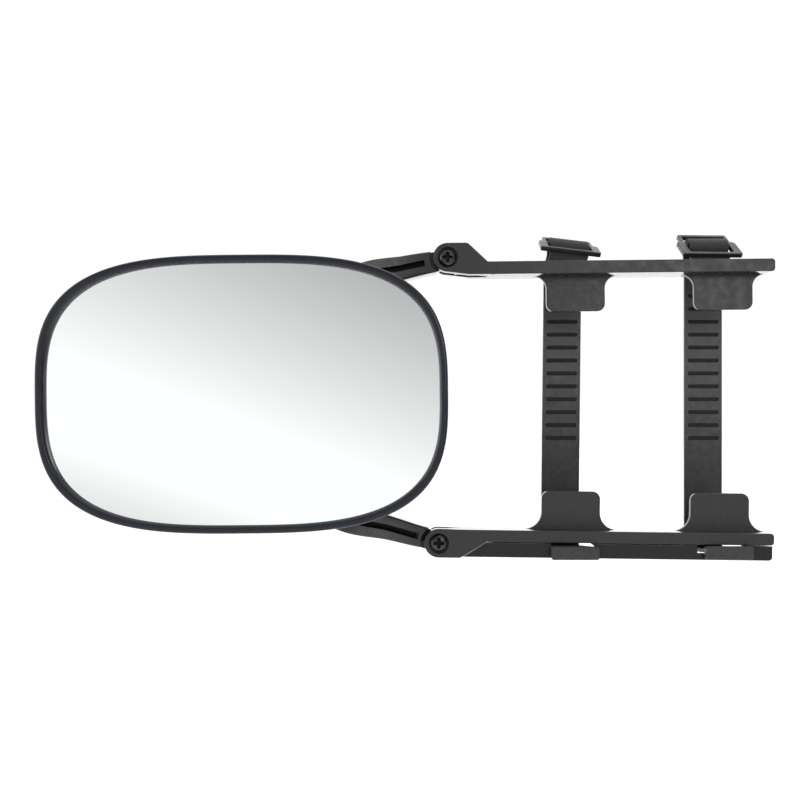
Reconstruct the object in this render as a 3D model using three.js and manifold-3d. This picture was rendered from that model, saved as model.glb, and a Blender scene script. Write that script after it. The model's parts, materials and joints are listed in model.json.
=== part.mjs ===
// Clip-on towing mirror: a convex mirror head on a ball joint, a wishbone yoke, and two hinged
// arms whose hooks and straps clamp onto a vehicle's own door mirror.
// Millimetres. +X runs along the arms away from the head, +Y is away from the driver (the glass
// faces -Y), +Z is up. The origin is the centre of the clamp's mouth, in the plane where the
// rubber pads of the four hooks press on the host mirror.
import * as THREE from "three";
import { mergeVertices } from "three/addons/utils/BufferGeometryUtils.js";
import Module from "manifold-3d";

const wasm = await Module();
wasm.setup();

// ---------- driving dimensions ----------
const GAP = 0.3; // clearance left between neighbouring pieces
const DEGREE = Math.PI / 180;

// Mirror head: an oval with squarish shoulders, seen from the front.
const HEAD = {
  x: -223.4,
  z: 2.2,
  halfWidth: 108.8,
  halfHeight: 73.45,
  squareness: 3.1,
  roll: 0.5 * DEGREE, // as it stands at rest
};
const RIM_FRONT_Y = -39.1;
const SEAM_Y = -28; // where the bezel meets the rear shell
const SHELL_DEPTH = 25;
const SHELL_WALL = 2.4;
const OVAL_SEGMENTS = 44;
const GLASS = { frontY: -37.9, radius: 2400, thickness: 2.4, inset: 3.2 };
const PAD_THICKNESS = 1;
const CARRIER_THICKNESS = 1.8;

// Ball joint between head and yoke, centred on the head's own centre.
const BALL_RADIUS = 9;
const BALL_GAP = 0.35;
const LINER_WALL = 1.5;
const SEAT_RADIUS = BALL_RADIUS + LINER_WALL + 0.4;
const BOSS_RADIUS = 15;
const BOSS_REAR_Y = 7.2;
const CUP_RADIUS = 10.6;
const HUB_FRONT_Y = 12;
const HUB_RADIUS = 14;
const STUD_RADIUS = 3.9;
const STUD_THREAD_RADIUS = 2.95;

// Arms: both are the same moulding idea, a channel with a fork at the pivot, a shelf behind it
// and two hooks on its inner side. "out" is measured from the pivot, away from the clamp's mouth.
const ARM_FRONT_Y = -14;
const ARM_DEPTH = 12;
const ARM_REAR_Y = ARM_FRONT_Y + ARM_DEPTH;
const SHELF_REAR_Y = 27.5;
const SHELF_THICKNESS = 2.4;
const WALL = 2.4;
const BOSS = { radius: 8.05, counterbore: 5.7, counterboreDepth: 2.5 };
const FORK_SLOT = { frontY: -9.4, rearY: -4.6 };
const HOOK = { width: 33.2, frontY: -5, cornerRadius: 4.4 };
const SLOT = { halfWidth: 12.6 }; // the straps' slots through the shelves
const HOOK_PAD = { width: 28, height: 15.5, thickness: 1.7, cornerRadius: 3.5 };
const LEG_Y = 23; // where the straps rise behind the host mirror
const TAIL_Y = 9; // where each strap's end comes back down through the upper arm
const UPPER = {
  name: "upper",
  pivot: [-113.5, 79.4],
  slope: 0.6 * DEGREE,
  flip: 1,
  outer: -2.5,
  inner: -9.6,
  bossTopEnd: 11.2,
  diagonalEnd: 22.3,
  end: 182.1,
  hookTip: -29.6,
  hooks: [72.9, 156.7],
  flare: 7,
  straps: [70.9, 155.5],
  slotDepths: [TAIL_Y, LEG_Y],
};
const LOWER = {
  name: "lower",
  pivot: [-118.4, -79.6],
  slope: -0.75 * DEGREE,
  flip: -1,
  outer: -1.05,
  inner: -7.7,
  bossTopEnd: 12.3,
  diagonalEnd: 26.5,
  end: 186.4,
  hookTip: -29.2,
  hooks: [75, 159.5],
  flare: 9.4,
  straps: [74.8, 160.4],
  slotDepths: [LEG_Y],
};

// Pivot screws, M5.
const SCREW = { headRadius: 4.9, headHeight: 2.3, shankRadius: 2.45 };
const WASHER = { radius: 5.4, thickness: 0.8 };
const NUT = { acrossFlats: 8, height: 4 };
const PIVOT_BORE = 2.6;
const TONGUE = { radius: 7.4, frontY: FORK_SLOT.frontY + GAP, rearY: FORK_SLOT.rearY - GAP };
const SHOULDER_RADIUS = 9.9;

// Yoke links, as seen from the front: a band that widens as it follows these points to the hub.
const LINK_WIDTH = { start: 11, growth: 0.11, widest: 17 };
const LINK_THICKNESS = 11.4;
const LINK_GROOVE = { width: 3.4, depth: 4, steps: 48, last: 39 };
const NECK = { width: 11.2, reach: 13 };
const UPPER_LINK = {
  places: [[-113.5, 78.2], [-121, 77.2], [-138, 75], [-165, 71.5], [-195, 52], [-214, 24]],
  grooveFirst: 11,
};
const LOWER_LINK = {
  places: [[-118.4, -77.8], [-128, -76.5], [-146.6, -72.5], [-175, -67], [-200, -46], [-216, -20]],
  grooveFirst: 9,
};
const LINK_FRONT_Y = -13; // beside the pivots
const SWEEP = { start: -117, length: 66 }; // the links lean back over this stretch

// Straps: rubber bands that rise behind the host mirror.
const STRAP = { width: 22.5, thickness: 2.3, grooveWidth: 18.3, grooveHeight: 2.4 };
const LEAN_FOOT_Z = -75; // a strap's lean starts at this height
const STRAP_GROOVES = { first: -21.5, pitch: 7.77, count: 12, depth: 0.7 };
const T_END = { width: 26.2, height: 7.2, frontY: -17.4, rearY: -13.5 };
const RAIL = { frontY: -13.2, thickness: 2.8, gap: 0.5, bottom: 7.5, end: 185.8, webRearY: -3 };
const RAIL_WINDOWS = [[62.6, 87], [144, 172.5]];
const WINDOW_BOTTOM = 3.95;
const RAIL_PEGS = [42, 108, 128];

// Buckles: a frame with two slots either side of a round bar.
const BUCKLE = { width: 35, rearWidth: 29.4, halfDepth: 12, thickness: 2.8, slotLength: 25.4 };
const BUCKLE_BAR_RADIUS = 1.6;
const BUCKLE_SLOT = [0.8, 9.3];
const LEFT = {
  name: "left",
  x: -43.2,
  armOuter: [-79.5, 77.65],
  teeDrop: 1.8,
  shift: 2.6,
  lean: 0.0107,
  bar: [14.3, 91.6],
  tilt: 27 * DEGREE,
  roll: 6.7 * DEGREE,
  yaw: 0,
};
const RIGHT = {
  name: "right",
  x: 42,
  armOuter: [-80.65, 78.55],
  teeDrop: 0.5,
  shift: -0.9,
  lean: 0,
  bar: [14.3, 91.9],
  tilt: 39.5 * DEGREE,
  roll: 0,
  yaw: 2.5 * DEGREE,
};

// ---------- materials ----------
const plastic = (color, roughness) => new THREE.MeshStandardMaterial({ color, roughness, metalness: 0 });
const metal = (color, roughness) => new THREE.MeshStandardMaterial({ color, roughness, metalness: 1 });
const BLACK_PLASTIC = () => plastic(0x2c2e30, 0.5);
const GLOSS_PLASTIC = () => plastic(0x17191b, 0.25);
const RUBBER = () => plastic(0x232425, 0.7);
const LINER_PLASTIC = () => plastic(0xd8d6cc, 0.4);
const FOAM = () => plastic(0x4a4a4a, 0.9);
const DARK_STEEL = () => metal(0x3a3b3d, 0.35);
const ZINC = () => metal(0xb9bcc0, 0.3);
const MIRROR = () => metal(0xe4e8ea, 0.05);

// ---------- helpers ----------
// A closed geometry as a solid, with its shared corners merged and slivers dropped.
function solid(geometry) {
  const loose = geometry.index ? geometry.toNonIndexed() : geometry;
  const bare = new THREE.BufferGeometry().setAttribute("position", loose.getAttribute("position"));
  const merged = mergeVertices(bare, 1e-4);
  const corners = merged.index.array;
  const kept = [];
  for (let i = 0; i < corners.length; i += 3) {
    const [a, b, c] = corners.slice(i, i + 3);
    if (a !== b && b !== c && c !== a) kept.push(a, b, c);
  }
  const build = (triVerts) =>
    new wasm.Manifold(
      new wasm.Mesh({ numProp: 3, vertProperties: merged.attributes.position.array, triVerts }),
    );
  const made = build(new Uint32Array(kept));
  return made.volume() > 0 ? made : build(new Uint32Array(kept.reverse()));
}

function geometryOf(body) {
  const mesh = body.getMesh();
  const stride = mesh.numProp;
  const positions = new Float32Array(mesh.numVert * 3);
  for (let i = 0; i < mesh.numVert; i++) {
    positions.set(mesh.vertProperties.subarray(i * stride, i * stride + 3), i * 3);
  }
  const geometry = new THREE.BufferGeometry();
  geometry.setAttribute("position", new THREE.BufferAttribute(positions, 3));
  geometry.setIndex(new THREE.BufferAttribute(mesh.triVerts, 1));
  geometry.computeVertexNormals();
  return geometry;
}

const joined = (first, ...others) => others.reduce((sum, body) => sum.add(body), first);
const cut = (first, ...others) => others.reduce((rest, body) => rest.subtract(body), first);

// Turns an XY outline extruded along +Z so that it stands in XZ and runs along -Y.
const STAND = new THREE.Matrix4().makeRotationX(Math.PI / 2);
// Turns an outline drawn as (Y, Z) so that it runs along +X.
const SIDEWAYS = new THREE.Matrix4().set(0, 0, 1, 0, 1, 0, 0, 0, 0, 1, 0, 0, 0, 0, 0, 1);

function extruded(shape, depth, curveSegments = 3) {
  return new THREE.ExtrudeGeometry(shape, { depth, curveSegments, bevelEnabled: false });
}

// An outline in the XZ plane, filled from frontY to rearY.
function standing(shape, frontY, rearY, curveSegments) {
  const geometry = extruded(shape, rearY - frontY, curveSegments);
  return solid(geometry.applyMatrix4(STAND).translate(0, rearY, 0));
}

// An outline in the XY plane, filled from lowZ to highZ.
function level(shape, lowZ, highZ, curveSegments) {
  return solid(extruded(shape, highZ - lowZ, curveSegments).translate(0, 0, lowZ));
}

// An outline in the YZ plane, filled from lowX to highX.
function sideways(shape, lowX, highX, curveSegments) {
  return extruded(shape, highX - lowX, curveSegments).applyMatrix4(SIDEWAYS).translate(lowX, 0, 0);
}

function block([lowX, highX], [lowY, highY], [lowZ, highZ]) {
  const geometry = new THREE.BoxGeometry(highX - lowX, highY - lowY, highZ - lowZ);
  return solid(geometry.translate((lowX + highX) / 2, (lowY + highY) / 2, (lowZ + highZ) / 2));
}

// A cylinder, or a prism with few segments, whose axis runs along Y through (x, z).
function pin(radius, frontY, rearY, x = 0, z = 0, segments = 20) {
  const geometry = new THREE.CylinderGeometry(radius, radius, rearY - frontY, segments);
  return solid(geometry.translate(x, (frontY + rearY) / 2, z));
}

// A turned body about the Y axis from (radius, y) pairs, closed on the axis or on itself.
function turned(profile, segments = 24) {
  return solid(new THREE.LatheGeometry(profile.map(([r, y]) => new THREE.Vector2(r, y)), segments));
}

// A polygon whose corners [x, y, radius] are rounded by arcs.
function roundedShape(corners) {
  const shape = new THREE.Shape();
  corners.forEach(([x, y, radius = 0], i) => {
    const here = new THREE.Vector2(x, y);
    const before = new THREE.Vector2(...corners.at(i - 1).slice(0, 2));
    const after = new THREE.Vector2(...corners[(i + 1) % corners.length].slice(0, 2));
    const arrive = here.clone().sub(before).normalize();
    const leave = after.clone().sub(here).normalize();
    const turn = Math.atan2(arrive.cross(leave), arrive.dot(leave));
    const start = here.clone().addScaledVector(arrive, -radius * Math.tan(Math.abs(turn) / 2));
    if (i === 0) shape.moveTo(start.x, start.y);
    else shape.lineTo(start.x, start.y);
    if (!radius) return;
    const side = Math.sign(turn);
    const centre = new THREE.Vector2(-arrive.y, arrive.x).multiplyScalar(side * radius).add(start);
    const from = Math.atan2(start.y - centre.y, start.x - centre.x);
    shape.absarc(centre.x, centre.y, radius, from, from + turn, side < 0);
  });
  return shape;
}

function rectangle(lowX, highX, lowY, highY, radius = 0) {
  return roundedShape([
    [lowX, lowY, radius],
    [highX, lowY, radius],
    [highX, highY, radius],
    [lowX, highY, radius],
  ]);
}

// The outline of a band along a plane curve's points. Its width is a number or a function of the point.
function bandShape(points, width) {
  const widthAt = (point) => (typeof width === "function" ? width(point) : width);
  const side = (sign) =>
    points.map((point, i) => {
      const before = points[Math.max(i - 1, 0)];
      const after = points[Math.min(i + 1, points.length - 1)];
      const along = after.clone().sub(before).normalize();
      return new THREE.Vector2(-along.y, along.x).multiplyScalar((sign * widthAt(point)) / 2).add(point);
    });
  return new THREE.Shape([...side(1), ...side(-1).reverse()]);
}

const smooth = (t) => {
  const held = Math.min(Math.max(t, 0), 1);
  return held * held * (3 - 2 * held);
};

// Rings of equal length joined by faces. The ends are closed by a fan, or the last ring meets the first.
function loft(rings, endless = false) {
  const count = rings[0].length;
  const positions = [];
  const face = (a, b, c) => positions.push(...a.toArray(), ...b.toArray(), ...c.toArray());
  const pairs = endless ? rings.length : rings.length - 1;
  for (let i = 0; i < pairs; i++) {
    const near = rings[i];
    const far = rings[(i + 1) % rings.length];
    for (let j = 0; j < count; j++) {
      const k = (j + 1) % count;
      face(near[j], far[j], far[k]);
      face(near[j], far[k], near[k]);
    }
  }
  if (!endless) {
    const middle = (ring) => ring.reduce((sum, p) => sum.add(p), new THREE.Vector3()).divideScalar(count);
    const first = middle(rings[0]);
    const last = middle(rings.at(-1));
    for (let j = 0; j < count; j++) {
      const k = (j + 1) % count;
      face(rings[0][j], rings[0][k], first);
      face(rings.at(-1)[k], rings.at(-1)[j], last);
    }
  }
  const geometry = new THREE.BufferGeometry();
  geometry.setAttribute("position", new THREE.Float32BufferAttribute(positions, 3));
  return solid(geometry);
}

const parts = new THREE.Group();

function add(name, body, material, parent = parts) {
  const mesh = new THREE.Mesh(body.isBufferGeometry ? body : geometryOf(body), material);
  mesh.name = name;
  parent.add(mesh);
  return mesh;
}

// ---------- mirror head ----------
const head = new THREE.Group();
head.position.set(HEAD.x, 0, HEAD.z);
head.rotation.y = -HEAD.roll;
parts.add(head);

// One oval ring about the head's centre. depthAt gives its Y from (x, z).
function ovalRing(halfWidth, halfHeight, squareness, depthAt) {
  const ring = [];
  for (let i = 0; i < OVAL_SEGMENTS; i++) {
    const angle = (2 * Math.PI * i) / OVAL_SEGMENTS;
    const wide = Math.abs(Math.cos(angle) / halfWidth) ** squareness;
    const tall = Math.abs(Math.sin(angle) / halfHeight) ** squareness;
    const radius = (wide + tall) ** (-1 / squareness);
    const x = radius * Math.cos(angle);
    const z = radius * Math.sin(angle);
    ring.push(new THREE.Vector3(x, depthAt(x, z), z));
  }
  return ring;
}

const insetRing = (inset, depthAt) =>
  ovalRing(HEAD.halfWidth - inset, HEAD.halfHeight - inset, HEAD.squareness, depthAt);

// A hoop that follows the head's outline, from a closed profile of (inset, y) pairs.
const hoop = (profile) => loft(profile.map(([inset, y]) => insetRing(inset, () => y)), true);

// A sheet that follows the convex glass, behindGlass being its front face's distance behind it.
function curvedSheet(inset, behindGlass, thickness) {
  const depth = (behind) => (x, z) => GLASS.frontY + behind + (x * x + z * z) / (2 * GLASS.radius);
  const scales = [0.04, 0.6, 1];
  const ring = (scale, behind) =>
    ovalRing(
      (HEAD.halfWidth - inset) * scale,
      (HEAD.halfHeight - inset) * scale,
      HEAD.squareness,
      depth(behind),
    );
  const front = scales.map((scale) => ring(scale, behindGlass));
  const back = scales.map((scale) => ring(scale, behindGlass + thickness)).reverse();
  return loft([...front, ...back]);
}

// The shell's dome runs from the full outline at the seam to a small circle round the boss.
function dome(wall) {
  const rings = [];
  const steps = 7;
  const end = BOSS_RADIUS + 3 - wall;
  const startY = wall ? SEAM_Y - 3 : SEAM_Y + GAP;
  for (let i = 0; i <= steps; i++) {
    const turn = ((Math.PI / 2) * i) / steps;
    const inward = (1 - Math.cos(turn)) ** 0.92;
    const y = i ? SEAM_Y + GAP + (SHELL_DEPTH - wall) * Math.sin(turn) ** 0.9 : startY;
    rings.push(
      ovalRing(
        THREE.MathUtils.lerp(HEAD.halfWidth - wall, end, inward),
        THREE.MathUtils.lerp(HEAD.halfHeight - wall, end, inward),
        THREE.MathUtils.lerp(HEAD.squareness, 2, inward),
        () => y,
      ),
    );
  }
  return loft(rings);
}

const RETAINER = { radius: 17.5, frontY: -17.5, thickness: 2.5, screwCircle: 14.2, screwRadius: 1.4 };
const SPRING = { thickness: 0.8, rise: 1.4 };
const CUP_FRONT_Y = -12.2;
const screwPlaces = [90, 210, 330].map((angle) => [
  RETAINER.screwCircle * Math.cos(angle * DEGREE),
  RETAINER.screwCircle * Math.sin(angle * DEGREE),
]);

function headShell() {
  const tongue = hoop([[3.2, -29.6], [5.2, -29.6], [5.2, -23], [1.4, -23], [1.4, -26.8], [3.2, -26.8]]);
  const dish = cut(dome(0), dome(SHELL_WALL));
  const bossFrontY = RETAINER.frontY + RETAINER.thickness + GAP;
  const boss = turned([
    [0, bossFrontY],
    [RETAINER.radius, bossFrontY],
    [RETAINER.radius, -4],
    [BOSS_RADIUS, BOSS_REAR_Y - 1.4],
    [BOSS_RADIUS - 1.4, BOSS_REAR_Y],
    [0, BOSS_REAR_Y],
  ]);
  const seat = turned(sphereProfile(SEAT_RADIUS, -90, 90));
  const mouth = turned([[0, 2], [8.4, 4], [8.6, 5.4], [11.6, BOSS_REAR_Y + 1], [0, BOSS_REAR_Y + 1]]);
  const bore = pin(CUP_RADIUS + GAP, bossFrontY - 1, 0);
  const pilots = screwPlaces.map(([x, z]) => pin(RETAINER.screwRadius + 0.1, bossFrontY - 1, -6, x, z, 12));
  return cut(joined(dish, tongue, boss), seat, mouth, bore, ...pilots);
}

// The (radius, y) profile of a sphere between two latitudes, in degrees from the equator to +Y.
function sphereProfile(radius, low, high, steps = 8) {
  const profile = [];
  for (let i = 0; i <= steps; i++) {
    const latitude = (low + ((high - low) * i) / steps) * DEGREE;
    const onAxis = Math.abs(Math.cos(latitude)) < 1e-9;
    profile.push([onAxis ? 0 : radius * Math.cos(latitude), radius * Math.sin(latitude)]);
  }
  return profile;
}

add("mirror_glass", curvedSheet(GLASS.inset, 0, GLASS.thickness), MIRROR(), head);
const padStart = GLASS.thickness + 0.1;
add("glass_backing_pad", curvedSheet(GLASS.inset + 1.5, padStart, PAD_THICKNESS), FOAM(), head);
const carrierStart = padStart + PAD_THICKNESS + 0.1;
add("glass_carrier", curvedSheet(GLASS.inset + 0.8, carrierStart, CARRIER_THICKNESS), BLACK_PLASTIC(), head);
add(
  "head_bezel",
  hoop([
    [0, SEAM_Y],
    [0, -37.4],
    [0.6, -38.6],
    [1.9, RIM_FRONT_Y],
    [3.4, -38.9],
    [4.3, -38.1],
    [4.4, -37.2],
    [2.9, -37.0],
    [2.9, SEAM_Y],
  ]),
  GLOSS_PLASTIC(),
  head,
);
add("head_shell", headShell(), BLACK_PLASTIC(), head);

// A thin spherical cup that the ball turns in, open to the neck.
const linerInside = sphereProfile(BALL_RADIUS + BALL_GAP, -20, 34, 5);
const linerOutside = sphereProfile(BALL_RADIUS + LINER_WALL, -20, 34, 5).reverse();
add("ball_liner", turned([...linerInside, ...linerOutside, linerInside[0]]), LINER_PLASTIC(), head);

const cupHollow = turned(sphereProfile(BALL_RADIUS + BALL_GAP, -90, 90));
const cupBlank = turned([[0, CUP_FRONT_Y], [CUP_RADIUS, CUP_FRONT_Y], [CUP_RADIUS, -5.6], [0, -5.6]]);
add("pressure_cup", cut(cupBlank, cupHollow), LINER_PLASTIC(), head);

const springY = CUP_FRONT_Y - GAP - SPRING.thickness - SPRING.rise;
add(
  "friction_spring",
  turned([
    [4, springY],
    [9.8, springY + SPRING.rise],
    [9.8, springY + SPRING.rise + SPRING.thickness],
    [4, springY + SPRING.thickness],
    [4, springY],
  ]),
  DARK_STEEL(),
  head,
);
const retainerPlate = pin(RETAINER.radius, RETAINER.frontY, RETAINER.frontY + RETAINER.thickness);
const retainerHoles = screwPlaces.map(([x, z]) => pin(1.7, RETAINER.frontY - 1, 0, x, z, 12));
add("socket_retainer", cut(retainerPlate, ...retainerHoles), ZINC(), head);
screwPlaces.forEach(([x, z], i) => {
  const screwHead = pin(2.8, RETAINER.frontY - GAP - 1.8, RETAINER.frontY - GAP, x, z, 16);
  const screwShank = pin(RETAINER.screwRadius, RETAINER.frontY - 1, -7, x, z, 12);
  const slot = block([x - 3, x + 3], [RETAINER.frontY - 3, RETAINER.frontY - 1.4], [z - 0.4, z + 0.4]);
  add(`retainer_screw_${i + 1}`, cut(joined(screwHead, screwShank), slot), ZINC(), head);
});

// ---------- ball stud and yoke ----------
const STUD_NUT_Y = HUB_FRONT_Y + LINK_THICKNESS;
const studProfile = [
  ...sphereProfile(BALL_RADIUS, -90, 62),
  [STUD_RADIUS, 9.2],
  [STUD_RADIUS, HUB_FRONT_Y - 1.9],
  [6.6, HUB_FRONT_Y - 1.7],
  [6.6, HUB_FRONT_Y - GAP],
  [STUD_THREAD_RADIUS, HUB_FRONT_Y - GAP],
  [STUD_THREAD_RADIUS, STUD_NUT_Y + 7.4],
  [STUD_THREAD_RADIUS - 0.7, STUD_NUT_Y + 8],
  [0, STUD_NUT_Y + 8],
];
add("ball_stud", turned(studProfile), ZINC(), head);

function washer(radius, boreRadius, frontY, thickness) {
  return cut(pin(radius, frontY, frontY + thickness), pin(boreRadius, frontY - 1, frontY + thickness + 1));
}

function hexNut(acrossFlats, boreRadius, frontY, height) {
  const corner = acrossFlats / 2 / Math.cos(Math.PI / 6);
  const prism = pin(corner, frontY, frontY + height, 0, 0, 6);
  const chamfer = turned([
    [0, frontY],
    [acrossFlats / 2, frontY],
    [corner + 0.1, frontY + 0.5],
    [corner + 0.1, frontY + height - 0.5],
    [acrossFlats / 2, frontY + height],
    [0, frontY + height],
  ], 24);
  return cut(prism.intersect(chamfer), pin(boreRadius, frontY - 1, frontY + height + 1));
}
const studWasher = washer(6.4, STUD_THREAD_RADIUS + 0.2, STUD_NUT_Y + GAP, 1.2);
add("ball_stud_washer", studWasher, ZINC(), head);
const studNut = hexNut(10, STUD_THREAD_RADIUS + 0.1, STUD_NUT_Y + 1.8, 5);
add("ball_stud_nut", studNut, ZINC(), head);

// A link leans back from the pivot to the hub: every point of it moves by this much in Y.
const leanAt = (x) => (HUB_FRONT_Y - LINK_FRONT_Y) * smooth((SWEEP.start - x) / SWEEP.length);

function leaning(shape, frontY, rearY) {
  const geometry = extruded(shape, rearY - frontY).applyMatrix4(STAND).translate(0, rearY, 0);
  const position = geometry.getAttribute("position");
  for (let i = 0; i < position.count; i++) {
    position.setY(i, position.getY(i) + leanAt(position.getX(i)));
  }
  return solid(geometry);
}

function linkPoints(places, count) {
  const ends = [...places, [HEAD.x, HEAD.z]].map(([x, z]) => new THREE.Vector2(x, z));
  return new THREE.SplineCurve(ends).getPoints(count);
}

function link({ places, grooveFirst }, arm) {
  const points = linkPoints(places, 24);
  const groovePoints = linkPoints(places, LINK_GROOVE.steps).slice(grooveFirst, LINK_GROOVE.last + 1);
  const rearY = LINK_FRONT_Y + LINK_THICKNESS;
  const { start, growth, widest } = LINK_WIDTH;
  const widthAt = (point) => Math.min(start + growth * (arm.pivot[0] - point.x), widest);
  const band = leaning(bandShape(points, widthAt), LINK_FRONT_Y, rearY);
  const grooveFloor = LINK_FRONT_Y + LINK_GROOVE.depth;
  const groove = leaning(bandShape(groovePoints, LINK_GROOVE.width), LINK_FRONT_Y - 1, grooveFloor);
  const [x, z] = arm.pivot;
  const shoulder = pin(SHOULDER_RADIUS, -30, 20, x, z, 32);
  const tongueDisc = pin(TONGUE.radius, TONGUE.frontY, TONGUE.rearY, x, z, 28);
  const pivot = new THREE.Vector2(x, z);
  const towardsHub = points[5].clone().sub(pivot).setLength(NECK.reach).add(pivot);
  const neck = bandShape([pivot, towardsHub], NECK.width);
  const tongue = joined(tongueDisc, standing(neck, TONGUE.frontY, TONGUE.rearY));
  return joined(cut(band, groove, shoulder), tongue);
}

const upperLink = link(UPPER_LINK, UPPER);
const lowerLink = link(LOWER_LINK, LOWER);
const hub = turned([
  [0, HUB_FRONT_Y],
  [HUB_RADIUS - 1, HUB_FRONT_Y],
  [HUB_RADIUS, HUB_FRONT_Y + 1],
  [HUB_RADIUS, STUD_NUT_Y - 1],
  [HUB_RADIUS - 1, STUD_NUT_Y],
  [0, STUD_NUT_Y],
]).translate([HEAD.x, 0, HEAD.z]);
const pivotHoles = [UPPER, LOWER].map((arm) => pin(PIVOT_BORE, -30, 20, ...arm.pivot));
const studHole = pin(STUD_THREAD_RADIUS + 0.2, 0, 40, HEAD.x, HEAD.z);
const yokeBody = joined(upperLink, lowerLink, hub);
add("yoke", cut(yokeBody, studHole, ...pivotHoles), BLACK_PLASTIC());

// ---------- arms ----------
// Every arm is drawn with its pivot at the origin, its outer side up and +X towards its free end.
function armFace(arm) {
  const { radius } = BOSS;
  const shape = new THREE.Shape();
  shape.moveTo(0, radius);
  shape.absarc(0, 0, radius, Math.PI / 2, 1.5 * Math.PI, false);
  shape.lineTo(radius + 4, arm.inner);
  shape.lineTo(arm.diagonalEnd + 4, arm.inner);
  shape.lineTo(arm.diagonalEnd + 4, arm.outer);
  shape.lineTo(arm.diagonalEnd, arm.outer);
  shape.lineTo(arm.bossTopEnd, radius);
  return shape;
}

function hookShape(centre, arm) {
  const [low, high] = [centre - HOOK.width / 2, centre + HOOK.width / 2];
  const corner = HOOK.cornerRadius;
  const bendZ = arm.inner - arm.flare;
  const shape = new THREE.Shape();
  shape.moveTo(low - arm.flare, arm.inner + 1);
  shape.lineTo(low - arm.flare, arm.inner);
  shape.absarc(low - arm.flare, bendZ, arm.flare, Math.PI / 2, 0, true);
  shape.absarc(low + corner, arm.hookTip + corner, corner, Math.PI, 1.5 * Math.PI, false);
  shape.absarc(high - corner, arm.hookTip + corner, corner, 1.5 * Math.PI, 2 * Math.PI, false);
  shape.absarc(high + arm.flare, bendZ, arm.flare, Math.PI, Math.PI / 2, true);
  shape.lineTo(high + arm.flare, arm.inner + 1);
  return shape;
}

function armBody(arm) {
  const { outer, inner, end } = arm;
  const start = arm.diagonalEnd;
  const fork = standing(armFace(arm), ARM_FRONT_Y, ARM_REAR_Y, 8);
  const corner = [[end, inner, 1.8], [end, outer, 1.8]];
  const faceOutline = roundedShape([[start, inner], ...corner, [start, outer]]);
  const frontWall = standing(faceOutline, ARM_FRONT_Y, ARM_FRONT_Y + WALL);
  const endBlock = standing(
    roundedShape([[end - 6, inner], ...corner, [end - 6, outer]]),
    ARM_FRONT_Y,
    ARM_REAR_Y,
  );
  const innerPlate = block([start, end - 2], [ARM_FRONT_Y, ARM_REAR_Y], [inner, inner + 2]);
  const rearWall = block([start, end - 2], [ARM_REAR_Y - WALL, ARM_REAR_Y], [inner, outer]);
  const shelfOutline = roundedShape([
    [BOSS.radius + 3, ARM_REAR_Y - WALL],
    [end - 0.6, ARM_REAR_Y - WALL],
    [end - 0.6, SHELF_REAR_Y, 5],
    [BOSS.radius + 3, SHELF_REAR_Y, 9],
  ]);
  const shelf = level(shelfOutline, outer - SHELF_THICKNESS, outer);
  const lip = block([24, end - 8], [SHELF_REAR_Y - 1.6, SHELF_REAR_Y], [outer - 0.5, outer + 1.4]);
  const ribPitch = (end - start - 12) / 9;
  const ribs = Array.from({ length: 8 }, (_, i) => start + 6 + ribPitch * (i + 1)).map((x) =>
    block([x - 0.8, x + 0.8], [ARM_FRONT_Y + 1, ARM_REAR_Y - 1], [inner + 1, outer - 1.2]),
  );
  const hooks = arm.hooks.map((x) => standing(hookShape(x, arm), HOOK.frontY, ARM_REAR_Y, 4));
  const forkSlot = pin(BOSS.radius + 1.1, FORK_SLOT.frontY, FORK_SLOT.rearY, 0, 0, 28);
  const openSlot = block([-12, 2], [FORK_SLOT.frontY, FORK_SLOT.rearY], [-14, 14]);
  const counterbore = pin(BOSS.counterbore, ARM_FRONT_Y - 1, ARM_FRONT_Y + BOSS.counterboreDepth, 0, 0, 28);
  const slotAt = (x, y) => rectangle(x - SLOT.halfWidth, x + SLOT.halfWidth, y - 2, y + 2, 1.2);
  const slots = arm.straps.flatMap((x) =>
    arm.slotDepths.map((y) => level(slotAt(x, y), outer - 6, outer + 6, 1)),
  );
  const body = joined(fork, frontWall, endBlock, innerPlate, rearWall, shelf, lip, ...ribs, ...hooks);
  return cut(body, forkSlot, openSlot, counterbore, pin(PIVOT_BORE + 0.1, -30, 20), ...slots);
}

// A pan head with a cross recess, whose shank runs rearwards.
function pivotScrew() {
  const { headRadius, headHeight, shankRadius } = SCREW;
  const seatY = ARM_FRONT_Y + BOSS.counterboreDepth - GAP / 2;
  const frontY = seatY - headHeight;
  const body = turned([
    [0, frontY - 0.5],
    [2.4, frontY - 0.35],
    [headRadius - 0.7, frontY + 0.35],
    [headRadius, frontY + 1.2],
    [headRadius, seatY],
    [shankRadius, seatY],
    [shankRadius, 5.4],
    [shankRadius - 0.6, 6],
    [0, 6],
  ]);
  const arm = block([-2.6, 2.6], [frontY - 2, frontY + 1.2], [-0.55, 0.55]);
  const other = block([-0.55, 0.55], [frontY - 2, frontY + 1.2], [-2.6, 2.6]);
  return cut(body, arm, other);
}

function hookPad(centre, arm) {
  const lowZ = arm.hookTip + 2;
  const outline = rectangle(
    centre - HOOK_PAD.width / 2,
    centre + HOOK_PAD.width / 2,
    lowZ,
    lowZ + HOOK_PAD.height,
    HOOK_PAD.cornerRadius,
  );
  return standing(outline, ARM_REAR_Y + GAP, 0, 4);
}

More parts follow.
